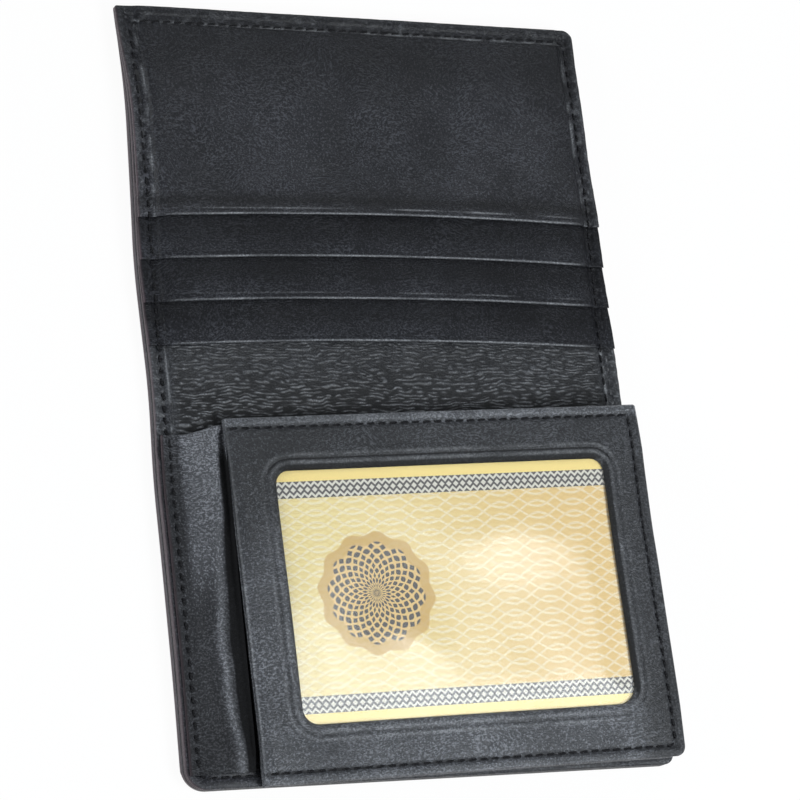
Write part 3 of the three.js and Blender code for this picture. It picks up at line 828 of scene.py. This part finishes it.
def mouth_wear_and_highlights(away, x, creased):
    """The edge of a mouth is rubbed pale with a painted highlight, and the second line beside it has a
    painted highlight; both fade towards the mouth's ends.
    """
    # rubbed pale, with a painted highlight on the rolled edge
    rubbed = 0.8 * bell(away - 0.2, 0.17) * patchy(0.85, 0.4, 43, 7.0, 50.0, x, away)
    crease = 0.6 * creased * mouth_breaks(x) * bell(away - CREASE_INSET, 0.16)
    return between_borders(x, 6.0) * np.maximum(rubbed, crease)


def mouth_lift(away, x):
    """A mouth gapes in the middle."""
    span = np.clip((x - INNER_LEFT - BORDER_WIDTH) / (RIGHT - INNER_LEFT - 2 * BORDER_WIDTH), 0.0, 1.0)
    return MOUTH_LIFT * np.sin(math.pi * span) ** 0.7 * np.exp(-np.maximum(away, 0.0) / 4.0)


def pocket_relief(away, x, y, creased, from_edge):
    """Relief of a pocket's upper face, whose mouth and other edges are rounded."""
    rims = rim_drop(away, 0.3, 0.3) + rim_drop(from_edge, 0.35, 0.25)
    return mouth_relief(away, x, creased) + border_relief(x, y) - rims


def bowed(mouth, facing):
    """Curves a pocket's mouth, which faces +Y (1) or -Y (-1), then settles the piece with its half."""
    def place(points):
        x, y, z = points.T
        middle = 1.0 - ((x - (INNER_LEFT + RIGHT) / 2) / ((RIGHT - INNER_LEFT) / 2 - BORDER_WIDTH)) ** 2
        away = np.maximum((mouth - y) * facing, 0.0)
        shift = -facing * MOUTH_BOW * np.clip(middle, 0.0, 1.0) * np.exp(-away / 9.0)
        return settled(np.stack([x, y + shift, z], axis=1))
    return place


def add_strip_pocket(number):
    low, high = box_of(f"card_pocket_{number}")
    creased = MOUTH_CREASE[number]

    def top(x, y):
        away = y - low[1]
        relief = pocket_relief(away, x, y, creased, inner_outline.from_sides(x)) + mouth_lift(away, x)
        return pinched(x, high[2]) + relief - STRIP_SLOPE * away

    def bottom(x, y):
        away = y - low[1]
        return pinched(x, low[2]) + mouth_lift(away, x) + rim_drop(away, 0.3, 0.25) - STRIP_SLOPE * away

    def wear_and_highlights(x, y):
        return mouth_wear_and_highlights(y - low[1], x, creased)

    def fold(x, y):
        """Painted shade darkens a strip towards the mouth that lies over it."""
        return 0.5 * smoothstep((y - low[1] - 2.0) / 5.0)

    outline = Outline(INNER_LEFT, RIGHT, low[1], high[1])
    rows = grade(low[1], high[1], 0.65, low[1] + MOUTH_ROWS)
    columns = border_columns(INNER_LEFT, RIGHT, 1.2)
    piece = slab(f"leather_pocket_{number}", outline, columns, rows, top, bottom, SHADED_STRIP_LEATHER,
                 bowed(low[1], -1.0), wear_and_highlights, fold, raw=True)
    return fit(piece, [f"card_pocket_{number}"], "upper_half")


def add_front_pocket():
    low, high = box_of("card_pocket_1")
    strip_low, strip_high = box_of("card_pocket_2")
    cloth_high = box_of("pocket_cloth_2")[1]
    thickness = strip_high[2] - strip_low[2]
    outline = Outline(INNER_LEFT, RIGHT, low[1], END, (0.0, 0.0, inner_radii[2], inner_radii[3]))
    sewn_level = low[2] + thickness
    slope = ((low[1], high[2]), (strip_high[1], high[2]), (cloth_high[1], cloth_high[2] + thickness + 0.1),
             (END - HEM_WIDTH, sewn_level), (END, sewn_level))

    def drape(y):
        """The panel falls from the strips to the sewn end in one soft slope."""
        return eased(y, slope, 4.0, 9)

    def top(x, y):
        away = y - low[1]
        from_edge = outline.depth(x, np.maximum(y, low[1] + 5.0))
        puff = 0.3 * value_noise(41, 19.0, 15.0, x, y) * smoothstep((inner_outline.depth(x, y) - 4.0) / 8.0)
        relief = pocket_relief(away, x, y, MOUTH_CREASE[1], from_edge) + mouth_lift(away, x) + puff
        return pinched(x, drape(y)) + relief

    def bottom(x, y):
        away = y - low[1]
        return pinched(x, drape(y)) - thickness + mouth_lift(away, x) + rim_drop(away, 0.3, 0.25)

    def wear_and_highlights(x, y):
        return np.maximum(mouth_wear_and_highlights(y - low[1], x, MOUTH_CREASE[1]), border_wear_and_highlights(x, y))

    def fold(x, y):
        """Painted shade darkens the panel beside its mouth and towards the sewn end."""
        return np.maximum(0.6 * bell(y - low[1] - 3.6, 1.6), 0.45 * smoothstep((y - END + 24.0) / 16.0))

    rows = grade(low[1], END, 0.65, np.concatenate([low[1] + MOUTH_ROWS, end_rows(1.0)]))
    piece = slab("leather_pocket_1", outline, border_columns(INNER_LEFT, RIGHT, 1.2), rows, top, bottom,
                 POCKET_LEATHER, bowed(low[1], -1.0), wear_and_highlights, fold, raw=True)
    return fit(piece, ["card_pocket_1"], "upper_half")


def add_pocket_cloth(number):
    low, high = box_of(f"pocket_cloth_{number}")
    outline = Outline(INNER_LEFT + 0.4, RIGHT - 0.4, low[1], high[1])
    columns = steps(outline.left, outline.right, 3.0)
    piece = add_cloth(f"cloth_pocket_{number}", outline, low[2], high[2] - 0.05, columns,
                      steps(low[1], high[1], 3.0), [f"pocket_cloth_{number}"])
    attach(piece, "upper_half")


def add_slip_pocket():
    """The slip pocket of the lower half, whose mouth faces the fold."""
    low, high = box_of("slip_pocket_lower")
    mouth = high[1]
    outline = Outline(INNER_LEFT, RIGHT, -END, mouth, (inner_radii[0], inner_radii[1], 0.0, 0.0))

    def top(x, y):
        from_edge = inner_outline.depth(x, y)
        return high[2] - 0.05 + pocket_relief(mouth - y, x, y, MOUTH_CREASE[1], from_edge)

    def bottom(x, y):
        return low[2] + rim_drop(mouth - y, 0.3, 0.25)

    rows = grade(-END, mouth, 0.65, np.concatenate([mouth - MOUTH_ROWS, end_rows(-1.0)]))
    piece = slab("leather_slip_pocket", outline, border_columns(INNER_LEFT, RIGHT, 1.5), rows, top, bottom,
                 POCKET_LEATHER, bowed(mouth, 1.0), raw=True)
    return fit(piece, ["slip_pocket_lower"], "lower_half")


# The flap, built level and then turned and tilted into place

flap_low, flap_high = level_box("flap_frame")
flap_bottom = level_box("flap_pocket")[0][2]
flap_width, flap_length = (flap_high - flap_low)[:2]
flap_middle = (flap_low[1] + flap_high[1]) / 2
flap_outline = outline_of(flap_low, flap_high, FLAP_RADII)
window_outline = Outline(flap_low[0] + WINDOW_SIDE, flap_high[0] - WINDOW_SIDE, flap_low[1] + WINDOW_END,
                         flap_high[1] - WINDOW_END, WINDOW_RADII)


def on_flap(points):
    """Turns the level flap a little askew about its hinged edge and raises its free edge."""
    x, y, z = points.T
    along = y - flap_middle
    share = (x - flap_low[0]) / flap_width
    reach = FLAP_REACH * smoothstep((y - flap_high[1] + REACH_LENGTH) / REACH_LENGTH)
    across = share * (FLAP_STRETCH * flap_width - FLAP_SHEAR * along + reach)
    flare = (FLAP_GROWTH + FLAP_FLARE * share) * (flap_high[1] - y) / flap_length
    cos, sin = math.cos(FLAP_TURN), math.sin(FLAP_TURN)
    turned_x = flap_low[0] + across * cos - along * sin
    turned_y = flap_middle + across * sin + along * cos - flare
    heave = 0.25 * value_noise(51, 30.0, 24.0, x, y) * smoothstep((x - flap_low[0]) / 15.0)
    height = np.clip((z - flap_bottom) / (flap_high[2] - flap_bottom), 0.0, 1.0)
    sloped = WINDOW_END - 1.5
    pinch = height * (TOP_SLOPE * np.clip(y - flap_high[1] + sloped, 0.0, None)
                      + END_SLOPE * np.clip(flap_low[1] + sloped - y, 0.0, None))
    return tilted(np.stack([turned_x, turned_y, z + heave - pinch], axis=1), TILT)


def give_way(piece):
    """Gives a piece of the flap a mesh of its own."""
    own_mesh(piece)


def ring_loop(outline):
    """Points round a rounded outline, with as many on each side and corner whatever its size."""
    side_count, corner_count = 130, 9
    bottom_left, bottom_right, top_right, top_left = outline.radii
    corners = [(outline.left, outline.bottom, 1, 1, bottom_left, math.pi),
               (outline.right, outline.bottom, -1, 1, bottom_right, 1.5 * math.pi),
               (outline.right, outline.top, -1, -1, top_right, 0.0),
               (outline.left, outline.top, 1, -1, top_left, 0.5 * math.pi)]
    arcs = []
    for x, y, in_x, in_y, radius, start in corners:
        turn = start + np.linspace(0.0, math.pi / 2, corner_count)
        arc = [x + in_x * radius + radius * np.cos(turn), y + in_y * radius + radius * np.sin(turn)]
        arcs.append(np.stack(arc, axis=1))
    points = []
    share = np.linspace(0.0, 1.0, side_count + 2)[1:-1, None]
    for arc, after in zip(arcs, arcs[1:] + arcs[:1]):
        points += [arc, arc[-1] * (1 - share) + after[0] * share]
    return np.concatenate(points)


def window_clear(y):
    """The lines beside the window are clear above it and faint elsewhere."""
    return 0.4 + 0.6 * smoothstep((y - window_outline.top + 0.5) / 0.5)


def frame_wear_and_highlights(x, y):
    """The flap's front is paler along its edges; the lines beside the window and the band along its padded
    top edge are painted highlights.
    """
    from_window = -window_outline.depth(x, y)
    broken = patchy(0.75, 0.7, 53, 4.0, 4.0, x, y)
    lines = np.maximum(bell(from_window - WINDOW_LIP, 0.4), 0.8 * bell(from_window - WINDOW_LINE, 0.32))
    edge = 0.35 * bell(flap_outline.depth(x, y) - 0.25, 0.18)
    padded = 0.24 * broken * smoothstep((STITCH_INSET - 0.7 - flap_outline.top + y) / 0.3)
    return most(broken * window_clear(y) * lines, edge, padded)


def frame_seam(x, y):
    """Distance from the flap's seam, inwards, and how near the next hole of a stitch is."""
    across = np.minimum(flap_outline.top - y, y - flap_outline.bottom)
    from_free = flap_outline.right - x
    return np.minimum(from_free, across) - STITCH_INSET, stitch_holes(np.where(from_free < across, y, x))


def frame_painted_shade(x, y):
    """Painted shade on the flap's front: darker towards the fold and its free edge, in its creases, along its
    seam and on the half of its lip turned from the light.
    """
    from_window = -window_outline.depth(x, y)
    below_seam = smoothstep((flap_outline.top - STITCH_INSET - y) / 0.4)
    painted_dark = 0.6 * below_seam * most(smoothstep((y - FLAP_SHADE_Y) / 32.0), smoothstep((x - FLAP_SHADE_X) / 5.0))
    shaded_side = np.maximum(y - window_outline.top, x - window_outline.right)
    lip = 0.9 * smoothstep((WINDOW_LIP - 0.3 - from_window) / 0.3) * smoothstep(shaded_side / 0.2 + 1.0)
    crease = 0.9 * window_clear(y) * bell(from_window - WINDOW_CREASE, 0.4)
    from_seam, hole = frame_seam(x, y)
    stitched = 0.95 * bell(from_seam, 0.45) * (1.0 - 0.75 * hole)
    return most(painted_dark, lip, crease, stitched)


def add_flap_frame():
    """The flap's front: a leather frame with its window edge turned and creased, sewn on three sides."""
    to_window = [0.0, 0.04, 0.12, 0.25, 0.42, 0.65, 0.95, 1.3, 1.6, 1.85, 2.05, 2.2, 2.32, 2.44, 2.56, 2.68,
                 2.85, 3.0, 3.15, 3.3, 3.5, 3.9, 4.4, 4.8]
    to_edge = [4.8, 4.2, 3.6, 3.2, 2.9, 2.65, 2.45, 2.3, 2.15, 1.95, 1.7, 1.4, 1.1, 0.8, 0.55, 0.36, 0.22,
               0.11, 0.04, 0.0]
    inner_loops = [ring_loop(window_outline.grown(reach)) for reach in to_window]
    outer_loops = [ring_loop(flap_outline.grown(-reach)) for reach in to_edge]
    middle_loops = [inner_loops[-1] * (1 - share) + outer_loops[0] * share for share in (0.33, 0.67)]
    plan = np.array(inner_loops + middle_loops + outer_loops)
    x, y = plan[:, :, 0], plan[:, :, 1]
    from_window = -window_outline.depth(x, y)
    from_edge = flap_outline.depth(x, y)
    from_seam, hole = frame_seam(x, y)
    seam = bell(from_seam, 0.45) * (0.3 + 0.35 * hole)
    crease = 0.2 * window_clear(y) * bell(from_window - WINDOW_CREASE, 0.2)
    turned = 0.08 * bell(from_window - WINDOW_LIP, 0.4) + 0.07 * bell(from_window - WINDOW_LINE, 0.35)
    puff = 0.3 * bell(from_seam + STITCH_INSET / 2, 0.75) + 0.12 * value_noise(52, 9.0, 7.0, x, y)
    rims = rim_drop(from_edge, 0.5, 0.4) + rim_drop(from_window, 1.2, 0.85)
    curl = 0.35 * smoothstep((flap_outline.left + 2.5 - x) / 2.5)
    top = flap_high[2] + window_clear(y) * turned + puff - seam - crease - rims - curl
    bottom = flap_low[2] + rim_drop(from_edge, 0.4, 0.3) + rim_drop(from_window, 0.2, 0.1) - curl
    points = np.concatenate([np.stack([x, y, z], axis=2).reshape(-1, 3) for z in (top, bottom)])

    rings, count = x.shape
    size = x.size
    column = np.arange(count)
    after = (column + 1) % count
    faces = []
    for inner in range(0, (rings - 1) * count, count):
        outer = inner + count
        quads = np.stack([inner + column, outer + column, outer + after, inner + after], axis=1)
        faces += [quads, quads[:, ::-1] + size]
    last = (rings - 1) * count
    faces.append(np.stack([column + size, column, after, after + size], axis=1))
    faces.append(np.stack([column, column + size, after + size, after], axis=1) + last)
    marks = np.zeros((2 * size, 3))
    marks[:size, 0] = frame_wear_and_highlights(x, y).ravel()
    marks[:size, 2] = frame_painted_shade(x, y).ravel()
    piece = make_object("leather_flap_frame", on_flap(points), np.concatenate(faces).tolist(), points, marks,
                        LIT_FLAP_LEATHER)
    give_way(piece)
    return fit(piece, ["flap_frame"], "flap")


def add_flap_layer(part, step, rim, has_mouth=False):
    """A plain leather layer of the flap. A mouth is an open pocket edge, towards the fold."""
    low, high = level_box(part)
    at_free_edge = high[0] > flap_high[0] - 1.0
    outline = outline_of(low, high, FREE_RADII if at_free_edge else SQUARE)
    drop = 0.45 * (high[2] - low[2])
    plain = face(outline, low[2], rim, -drop)

    def rolled(x, y):
        away = high[1] - y
        return plain(x, y) - 0.14 * bell(away - 0.75, 0.55) + 0.18 * bell(away - 1.75, 0.18)

    rows = grade(low[1], high[1], step, high[1] - MOUTH_ROWS if has_mouth else ())
    columns = grade(low[0], high[0], step)
    top = face(outline, high[2], rim, drop)
    bottom = rolled if has_mouth else plain
    piece = slab(f"leather_{part}", outline, columns, rows, top, bottom, LIT_FLAP_LEATHER, on_flap)
    give_way(piece)
    return fit(piece, [part], "flap")


def add_film():
    low, high = level_box("window_film")

    def bulged(level):
        """The film is slack: it swells and ripples up into the window."""
        def height(x, y):
            free = smoothstep((window_outline.depth(x, y) - 0.5) / 7.0)
            swell = sum(rise * bell(x - at_x, wide) * bell(y - at_y, deep)
                        for at_x, at_y, wide, deep, rise in SWELLS)
            ripple = 0.16 * value_noise(61, 21.0, 17.0, x, y)
            ripple = ripple + 0.05 * value_noise(62, 8.0, 10.0, x + 0.4 * y, y)
            return level + free * np.clip(0.15 + ripple + swell, 0.0, 1.1)
        return height

    columns = steps(low[0], high[0], 1.0)
    rows = steps(low[1], high[1], 1.0)
    outline = outline_of(low, high, CARD_RADII)
    piece = slab("clear_window", outline, columns, rows, bulged(high[2]), bulged(low[2]), FILM, on_flap)
    fit(piece, ["window_film"], "flap")


def add_card():
    low, high = level_box("insert_card")
    outline = outline_of(low, high, CARD_RADII)
    top = face(outline, high[2], 0.15, 0.1)
    bottom = face(outline, low[2], 0.15, -0.1)
    columns = grade(low[0], high[0], 4.0)
    rows = grade(low[1], high[1], 4.0)
    material = card_material(window_outline)
    piece = slab("printed_card", outline, columns, rows, top, bottom, material, on_flap)
    fit(piece, ["insert_card"], "card")


# The soft strip that hinges the flap to the border

def add_gusset():
    low, high = box_of("flap_hinge_strip")
    tab_right = LEFT + GUSSET_TAB
    tab_middle = low[2] + GUSSET_THICKNESS / 2
    end_middle = high[2] - GUSSET_THICKNESS / 2 - 0.1
    crest_level = end_middle - 0.4
    valley_level = tab_middle + 0.1

    def ridge_reach(y):
        """Distance of the soft ridge from the flap."""
        return eased(y, GUSSET_RIDGE) + 0.4 * value_noise(73, 50.0, 5.5, np.zeros_like(y), y)

    def centre(x, y):
        """Middle of the strip: a tab, a rise to a wandering ridge and a deep valley beside the flap."""
        reach = ridge_reach(y)
        crest = high[0] - reach
        rise = tab_middle + (crest_level - tab_middle) * smoothstep((x - tab_right) / 4.5)
        share = (x - crest) / reach
        fall = crest_level + (valley_level - crest_level) * smoothstep(share / 0.6)
        climb = (end_middle - valley_level) * smoothstep((share - 0.8) / 0.2)
        shape = np.where(x < crest, rise, fall + climb)
        hollow = 0.5 * smoothstep((GUSSET_HOLLOW - y) / 20.0) * bell(x - crest + 3.2, 1.6)
        free = smoothstep((x - tab_right) / 2.5) * smoothstep((high[0] - x) / 1.5)
        pucker = 0.1 * value_noise(71, 4.5, 9.0, x + 0.25 * y, y) + 0.05 * value_noise(72, 2.6, 4.0, x, y)
        lying = smoothstep((y - low[1]) / 5.0)
        return tab_middle + (shape + free * pucker - hollow - tab_middle) * lying

    def fold(x, y):
        """Painted shade: the valley beside the flap is near-black, and the tab and the lower part of the
        strip are darker.
        """
        reach = ridge_reach(y)
        valley = 0.97 * smoothstep((x - high[0] + 0.9 * reach) / (0.3 * reach))
        valley = valley * smoothstep((high[1] - y) / 8.0)
        painted_dark = 0.7 * smoothstep((GUSSET_SHADE - y) / 14.0) * (1.0 - bell(x - high[0] + reach + 0.6, 1.0))
        return most(valley, painted_dark, 0.6 * smoothstep((tab_right + 1.0 - x) / 1.5))

    def wear_and_highlights(x, y):
        """A painted highlight runs along the strip's ridge and painted light pales its upper part; its rim is
        rubbed pale.
        """
        from_ridge = x - high[0] + ridge_reach(y)
        ridge = 0.15 * bell(from_ridge + 0.5, 0.8) * smoothstep((GUSSET_RIDGE_LIT - y) / 12.0)
        upper = 0.1 * smoothstep((y - GUSSET_LIT) / 20.0) * smoothstep((x - tab_right) / 2.0)
        return most(ridge, upper * smoothstep(0.6 - from_ridge), rubbed_rim(high[1] - y))

    def top(x, y):
        away = high[1] - y
        rim = rim_drop(away, 0.5, 0.45) + rim_drop(y - low[1], 0.4, 0.3)
        hem = 0.3 * bell(np.maximum(away - 1.2, 0.0), 0.5) - 0.2 * bell(away - 2.2, 0.25)
        relief = border_relief(x, y) * smoothstep((tab_right + 1.5 - x) / 1.0)
        return centre(x, y) + GUSSET_THICKNESS / 2 + hem - rim + relief

    def bottom(x, y):
        rim = rim_drop(high[1] - y, 0.5, 0.25) + rim_drop(y - low[1], 0.4, 0.25)
        return centre(x, y) - GUSSET_THICKNESS / 2 + rim

    def place(points):
        x, y, z = points.T
        slant = -2.0 * smoothstep((high[0] - x) / 9.0) * np.exp(-(high[1] - y) / 9.0)
        return settled(np.stack([x, y + slant, z], axis=1))

    columns = border_columns(low[0], high[0], 0.2)
    columns = columns[columns <= high[0]]  # rounding can put the last one outside
    piece = slab("leather_gusset", outline_of(low, high), columns, grade(low[1], high[1], 0.6), top, bottom,
                 LIT_GUSSET_LEATHER, place, wear_and_highlights, fold, raw=True)
    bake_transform(piece)
    return fit(piece, ["flap_hinge_strip"])


# Stitches

RAY_START = 50.0  # well clear of the wallet


def surface_height(trees, x, y, from_above):
    """Highest (or, from below, lowest) height of the given surfaces at a point."""
    side = 1.0 if from_above else -1.0
    direction = Vector((0.0, 0.0, -side))
    start = Vector((x * MM, y * MM, side * RAY_START * MM))
    hits = [tree.ray_cast(start, direction)[0] for tree in trees]
    heights = [hit.z / MM for hit in hits if hit is not None]
    if not heights:
        return None
    return max(heights) if from_above else min(heights)


def tube_faces(first, sections):
    """Faces of a closed tube, the points of whose rings start at the given one."""
    corners = range(THREAD_SIDES)
    faces = []
    for ring in range(first, first + (sections - 1) * THREAD_SIDES, THREAD_SIDES):
        for corner in corners:
            here = ring + corner
            beside = ring + (corner + 1) % THREAD_SIDES
            faces.append((here, here + THREAD_SIDES, beside + THREAD_SIDES, beside))
    last = first + (sections - 1) * THREAD_SIDES
    faces.append(tuple(first + corner for corner in corners))
    faces.append(tuple(last + corner for corner in reversed(corners)))
    return faces


def add_stitches(name, path, pieces, from_above=True):
    """A row of single stitches, each dipping into its holes, laid on the pieces along the path."""
    graph = bpy.context.evaluated_depsgraph_get()
    trees = [BVHTree.FromObject(piece, graph) for piece in pieces]
    side = 1.0 if from_above else -1.0
    lengths = lengths_along(path)
    sections = np.linspace(-1.0, 1.0, 7)
    ring = np.linspace(0.0, 2 * math.pi, THREAD_SIDES + 1)[:-1]
    points, rests, faces = [], [], []
    for centre in np.arange(STITCH_PITCH / 2, lengths[-1] - STITCH_PITCH / 2, STITCH_PITCH):
        reach = sections * STITCH_LENGTH / 2
        spine = np.stack([np.interp(centre + reach, lengths, path[:, axis]) for axis in (0, 1)], axis=1)
        direction = (spine[-1] - spine[0]) / np.linalg.norm(spine[-1] - spine[0])
        normal = np.array([-direction[1], direction[0]])
        spine = spine + np.outer(reach * math.tan(STITCH_SLANT), normal)
        heights = [surface_height(trees, x, y, from_above) for x, y in spine]
        if None in heights:
            continue
        level = np.median(heights)
        faces += tube_faces(len(points), len(sections))
        for section, along, (x, y) in zip(sections, centre + reach, spine):
            middle = level + side * (STITCH_RISE - STITCH_DIP * section ** 4)
            thick = THREAD_RADIUS * (1.0 - 0.25 * section ** 4)
            for turn in ring:
                out_x, out_y = normal * thick * math.cos(turn)
                points.append((x + out_x, y + out_y, middle + thick * math.sin(turn)))
                rests.append((along, turn, 0.0))
    points = np.array(points)
    piece = make_object(name, points, faces, rests, np.zeros_like(points), THREAD)
    return piece


def border_path(half):
    """Line of stitches from the middle of the spine round one end and back."""
    left, right = INNER_LEFT + STITCH_INSET, RIGHT - STITCH_INSET
    start, end = SIGN[half] * 0.4, SIGN[half] * (END - STITCH_INSET)
    return rounded_path([(left, start), (left, end), (right, end), (right, start)], 2.0, 0.5)


def add_border_stitches(half, inner_pieces, covers):
    piece = add_stitches(f"stitches_{half}", border_path(half), inner_pieces)
    bend(piece, half)
    nodes = [f"thread_{half}_{side}" for side in ("left", "right", "end")]
    if half == "lower":
        nodes += ["thread_spine_left", "thread_spine_right"]
    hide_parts(*nodes)
    bend(add_stitches(f"stitches_cover_{half}", border_path(half), covers, from_above=False), half)


def add_flap_stitches(flap_frame):
    left = flap_outline.left + 0.6
    right = flap_outline.right - STITCH_INSET
    low, high = flap_outline.bottom + STITCH_INSET, flap_outline.top - STITCH_INSET
    path = rounded_path([(left, high), (right, high), (right, low), (left, low)], 1.2, 0.5)
    level = np.column_stack([path, np.full(len(path), flap_high[2])])
    piece = add_stitches("stitches_flap", on_flap(level)[:, :2], [flap_frame])
    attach(piece, "flap")
    give_way(piece)
    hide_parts("thread_flap")


# The whole wallet

def build_wallet():
    covers = [add_cover(half) for half in SIGN]
    inner = [add_inner_panel(half) for half in SIGN]
    for half in SIGN:
        add_linings(half)
    inner += [add_strip_pocket(number) for number in STRIP_NUMBERS]
    inner.append(add_front_pocket())
    for number in STRIP_NUMBERS:
        add_pocket_cloth(number)
    inner += [add_slip_pocket(), add_gusset()]
    add_flap_layer("flap_pocket", step=2.0, rim=0.3, has_mouth=True)
    add_flap_layer("flap_back", step=2.0, rim=0.35)
    for edge in ("side", "near", "far"):
        add_flap_layer(f"flap_hem_{edge}", step=1.5, rim=0.4)
    add_film()
    add_card()
    flap_frame = add_flap_frame()
    for half in SIGN:
        add_border_stitches(half, inner, covers)
    add_flap_stitches(flap_frame)


# Camera, light and floor

CAMERA_PLACE = Vector((-275.1, -161.0, 601.5)) * MM
CAMERA_AIM = Vector((3.62, -1.49, 0.0)) * MM
CAMERA_ROLL = math.radians(56.957)
LENS = 140.0
SENSOR_WIDTH = 36.0
FLOOR_REACH = 3.0
FLOOR_LEVEL = -0.35 * MM  # just under the lowest stitch
FLOOR_GLOW = 0.95  # share of the floor's white that takes no shadow
SKY_STRENGTH = 0.06
WHITE = (1.0, 1.0, 1.0, 1.0)


def stand(name, data, place, aim, roll=0.0):
    """Puts a camera or a lamp in its place and turns it to what it looks at."""
    thing = bpy.data.objects.new(name, data)
    thing.location = place
    thing.rotation_mode = "QUATERNION"
    look = (Vector(aim) - Vector(place)).to_track_quat("-Z", "Y")
    thing.rotation_quaternion = look @ Quaternion((0.0, 0.0, 1.0), roll)
    bpy.context.scene.collection.objects.link(thing)
    return thing


def add_camera():
    camera = bpy.data.cameras.new("camera")
    camera.lens = LENS
    camera.sensor_width = SENSOR_WIDTH
    bpy.context.scene.camera = stand("camera", camera, CAMERA_PLACE, CAMERA_AIM, CAMERA_ROLL)


def add_softbox(name, place, size, power, aim=(0.0, 0.0, 0.0)):
    light = bpy.data.lights.new(name, "AREA")
    light.shape = "SQUARE"
    light.size = size
    light.energy = power
    light.color = (0.92, 0.97, 1.0)
    stand(name, light, place, aim)


def add_floor():
    """A white floor that looks evenly lit and still takes a faint shadow."""
    mesh = bpy.data.meshes.new("floor")
    corners = [(x * FLOOR_REACH, y * FLOOR_REACH, 0.0) for x, y in ((-1, -1), (1, -1), (1, 1), (-1, 1))]
    mesh.from_pydata(corners, [], [(0, 1, 2, 3)])
    floor = bpy.data.objects.new("floor", mesh)
    floor.location.z = FLOOR_LEVEL
    bpy.context.scene.collection.objects.link(floor)
    graph = Graph("floor")
    rays = graph.add("ShaderNodeLightPath").outputs
    seen = graph.most(rays["Is Camera Ray"], graph.most(rays["Is Glossy Ray"], rays["Is Transmission Ray"]))
    paint = graph.add("ShaderNodeBsdfDiffuse", {"Color": (0.9, 0.9, 0.9, 1.0)}).outputs[0]
    glow = graph.add("ShaderNodeEmission", {"Color": WHITE, "Strength": 1.0}).outputs[0]
    mixed = graph.add("ShaderNodeMixShader", {0: graph.times(seen, FLOOR_GLOW), 1: paint, 2: glow})
    mesh.materials.append(graph.output(mixed))


def add_sky():
    """A dim sky that looks white from the camera."""
    world = bpy.data.worlds.new("studio")
    bpy.context.scene.world = world
    world.use_nodes = True
    nodes, links = world.node_tree.nodes, world.node_tree.links
    sky = nodes["Background"]
    sky.inputs["Color"].default_value = WHITE
    path = nodes.new("ShaderNodeLightPath")
    level = nodes.new("ShaderNodeMapRange")
    level.inputs["To Min"].default_value = SKY_STRENGTH
    level.inputs["To Max"].default_value = 1.0
    links.new(path.outputs["Is Camera Ray"], level.inputs["Value"])
    links.new(level.outputs[0], sky.inputs["Strength"])


def add_lights():
    add_softbox("sheen", (0.22, -0.12, 0.6), size=0.3, power=0.8, aim=(0.02, -0.05, 0.0))
    add_softbox("front", (0.3, -0.36, 0.56), size=0.28, power=4.2)
    add_softbox("far", (0.3, 0.75, 0.4), size=0.25, power=0.5)
    add_softbox("high", (0.1, 0.6, 0.75), size=0.25, power=0.7)
    add_softbox("left", (-0.8, 0.1, 0.25), size=0.5, power=5.5)
    add_softbox("key", (0.62, 0.45, 0.46), size=0.16, power=0.5)
    add_softbox("glare", (0.23, 0.03, 0.6), size=0.12, power=0.055, aim=(0.01, -0.06, 0.0))


bpy.context.scene.view_settings.view_transform = "Standard"
add_camera()
add_floor()
add_sky()
add_lights()
build_wallet()
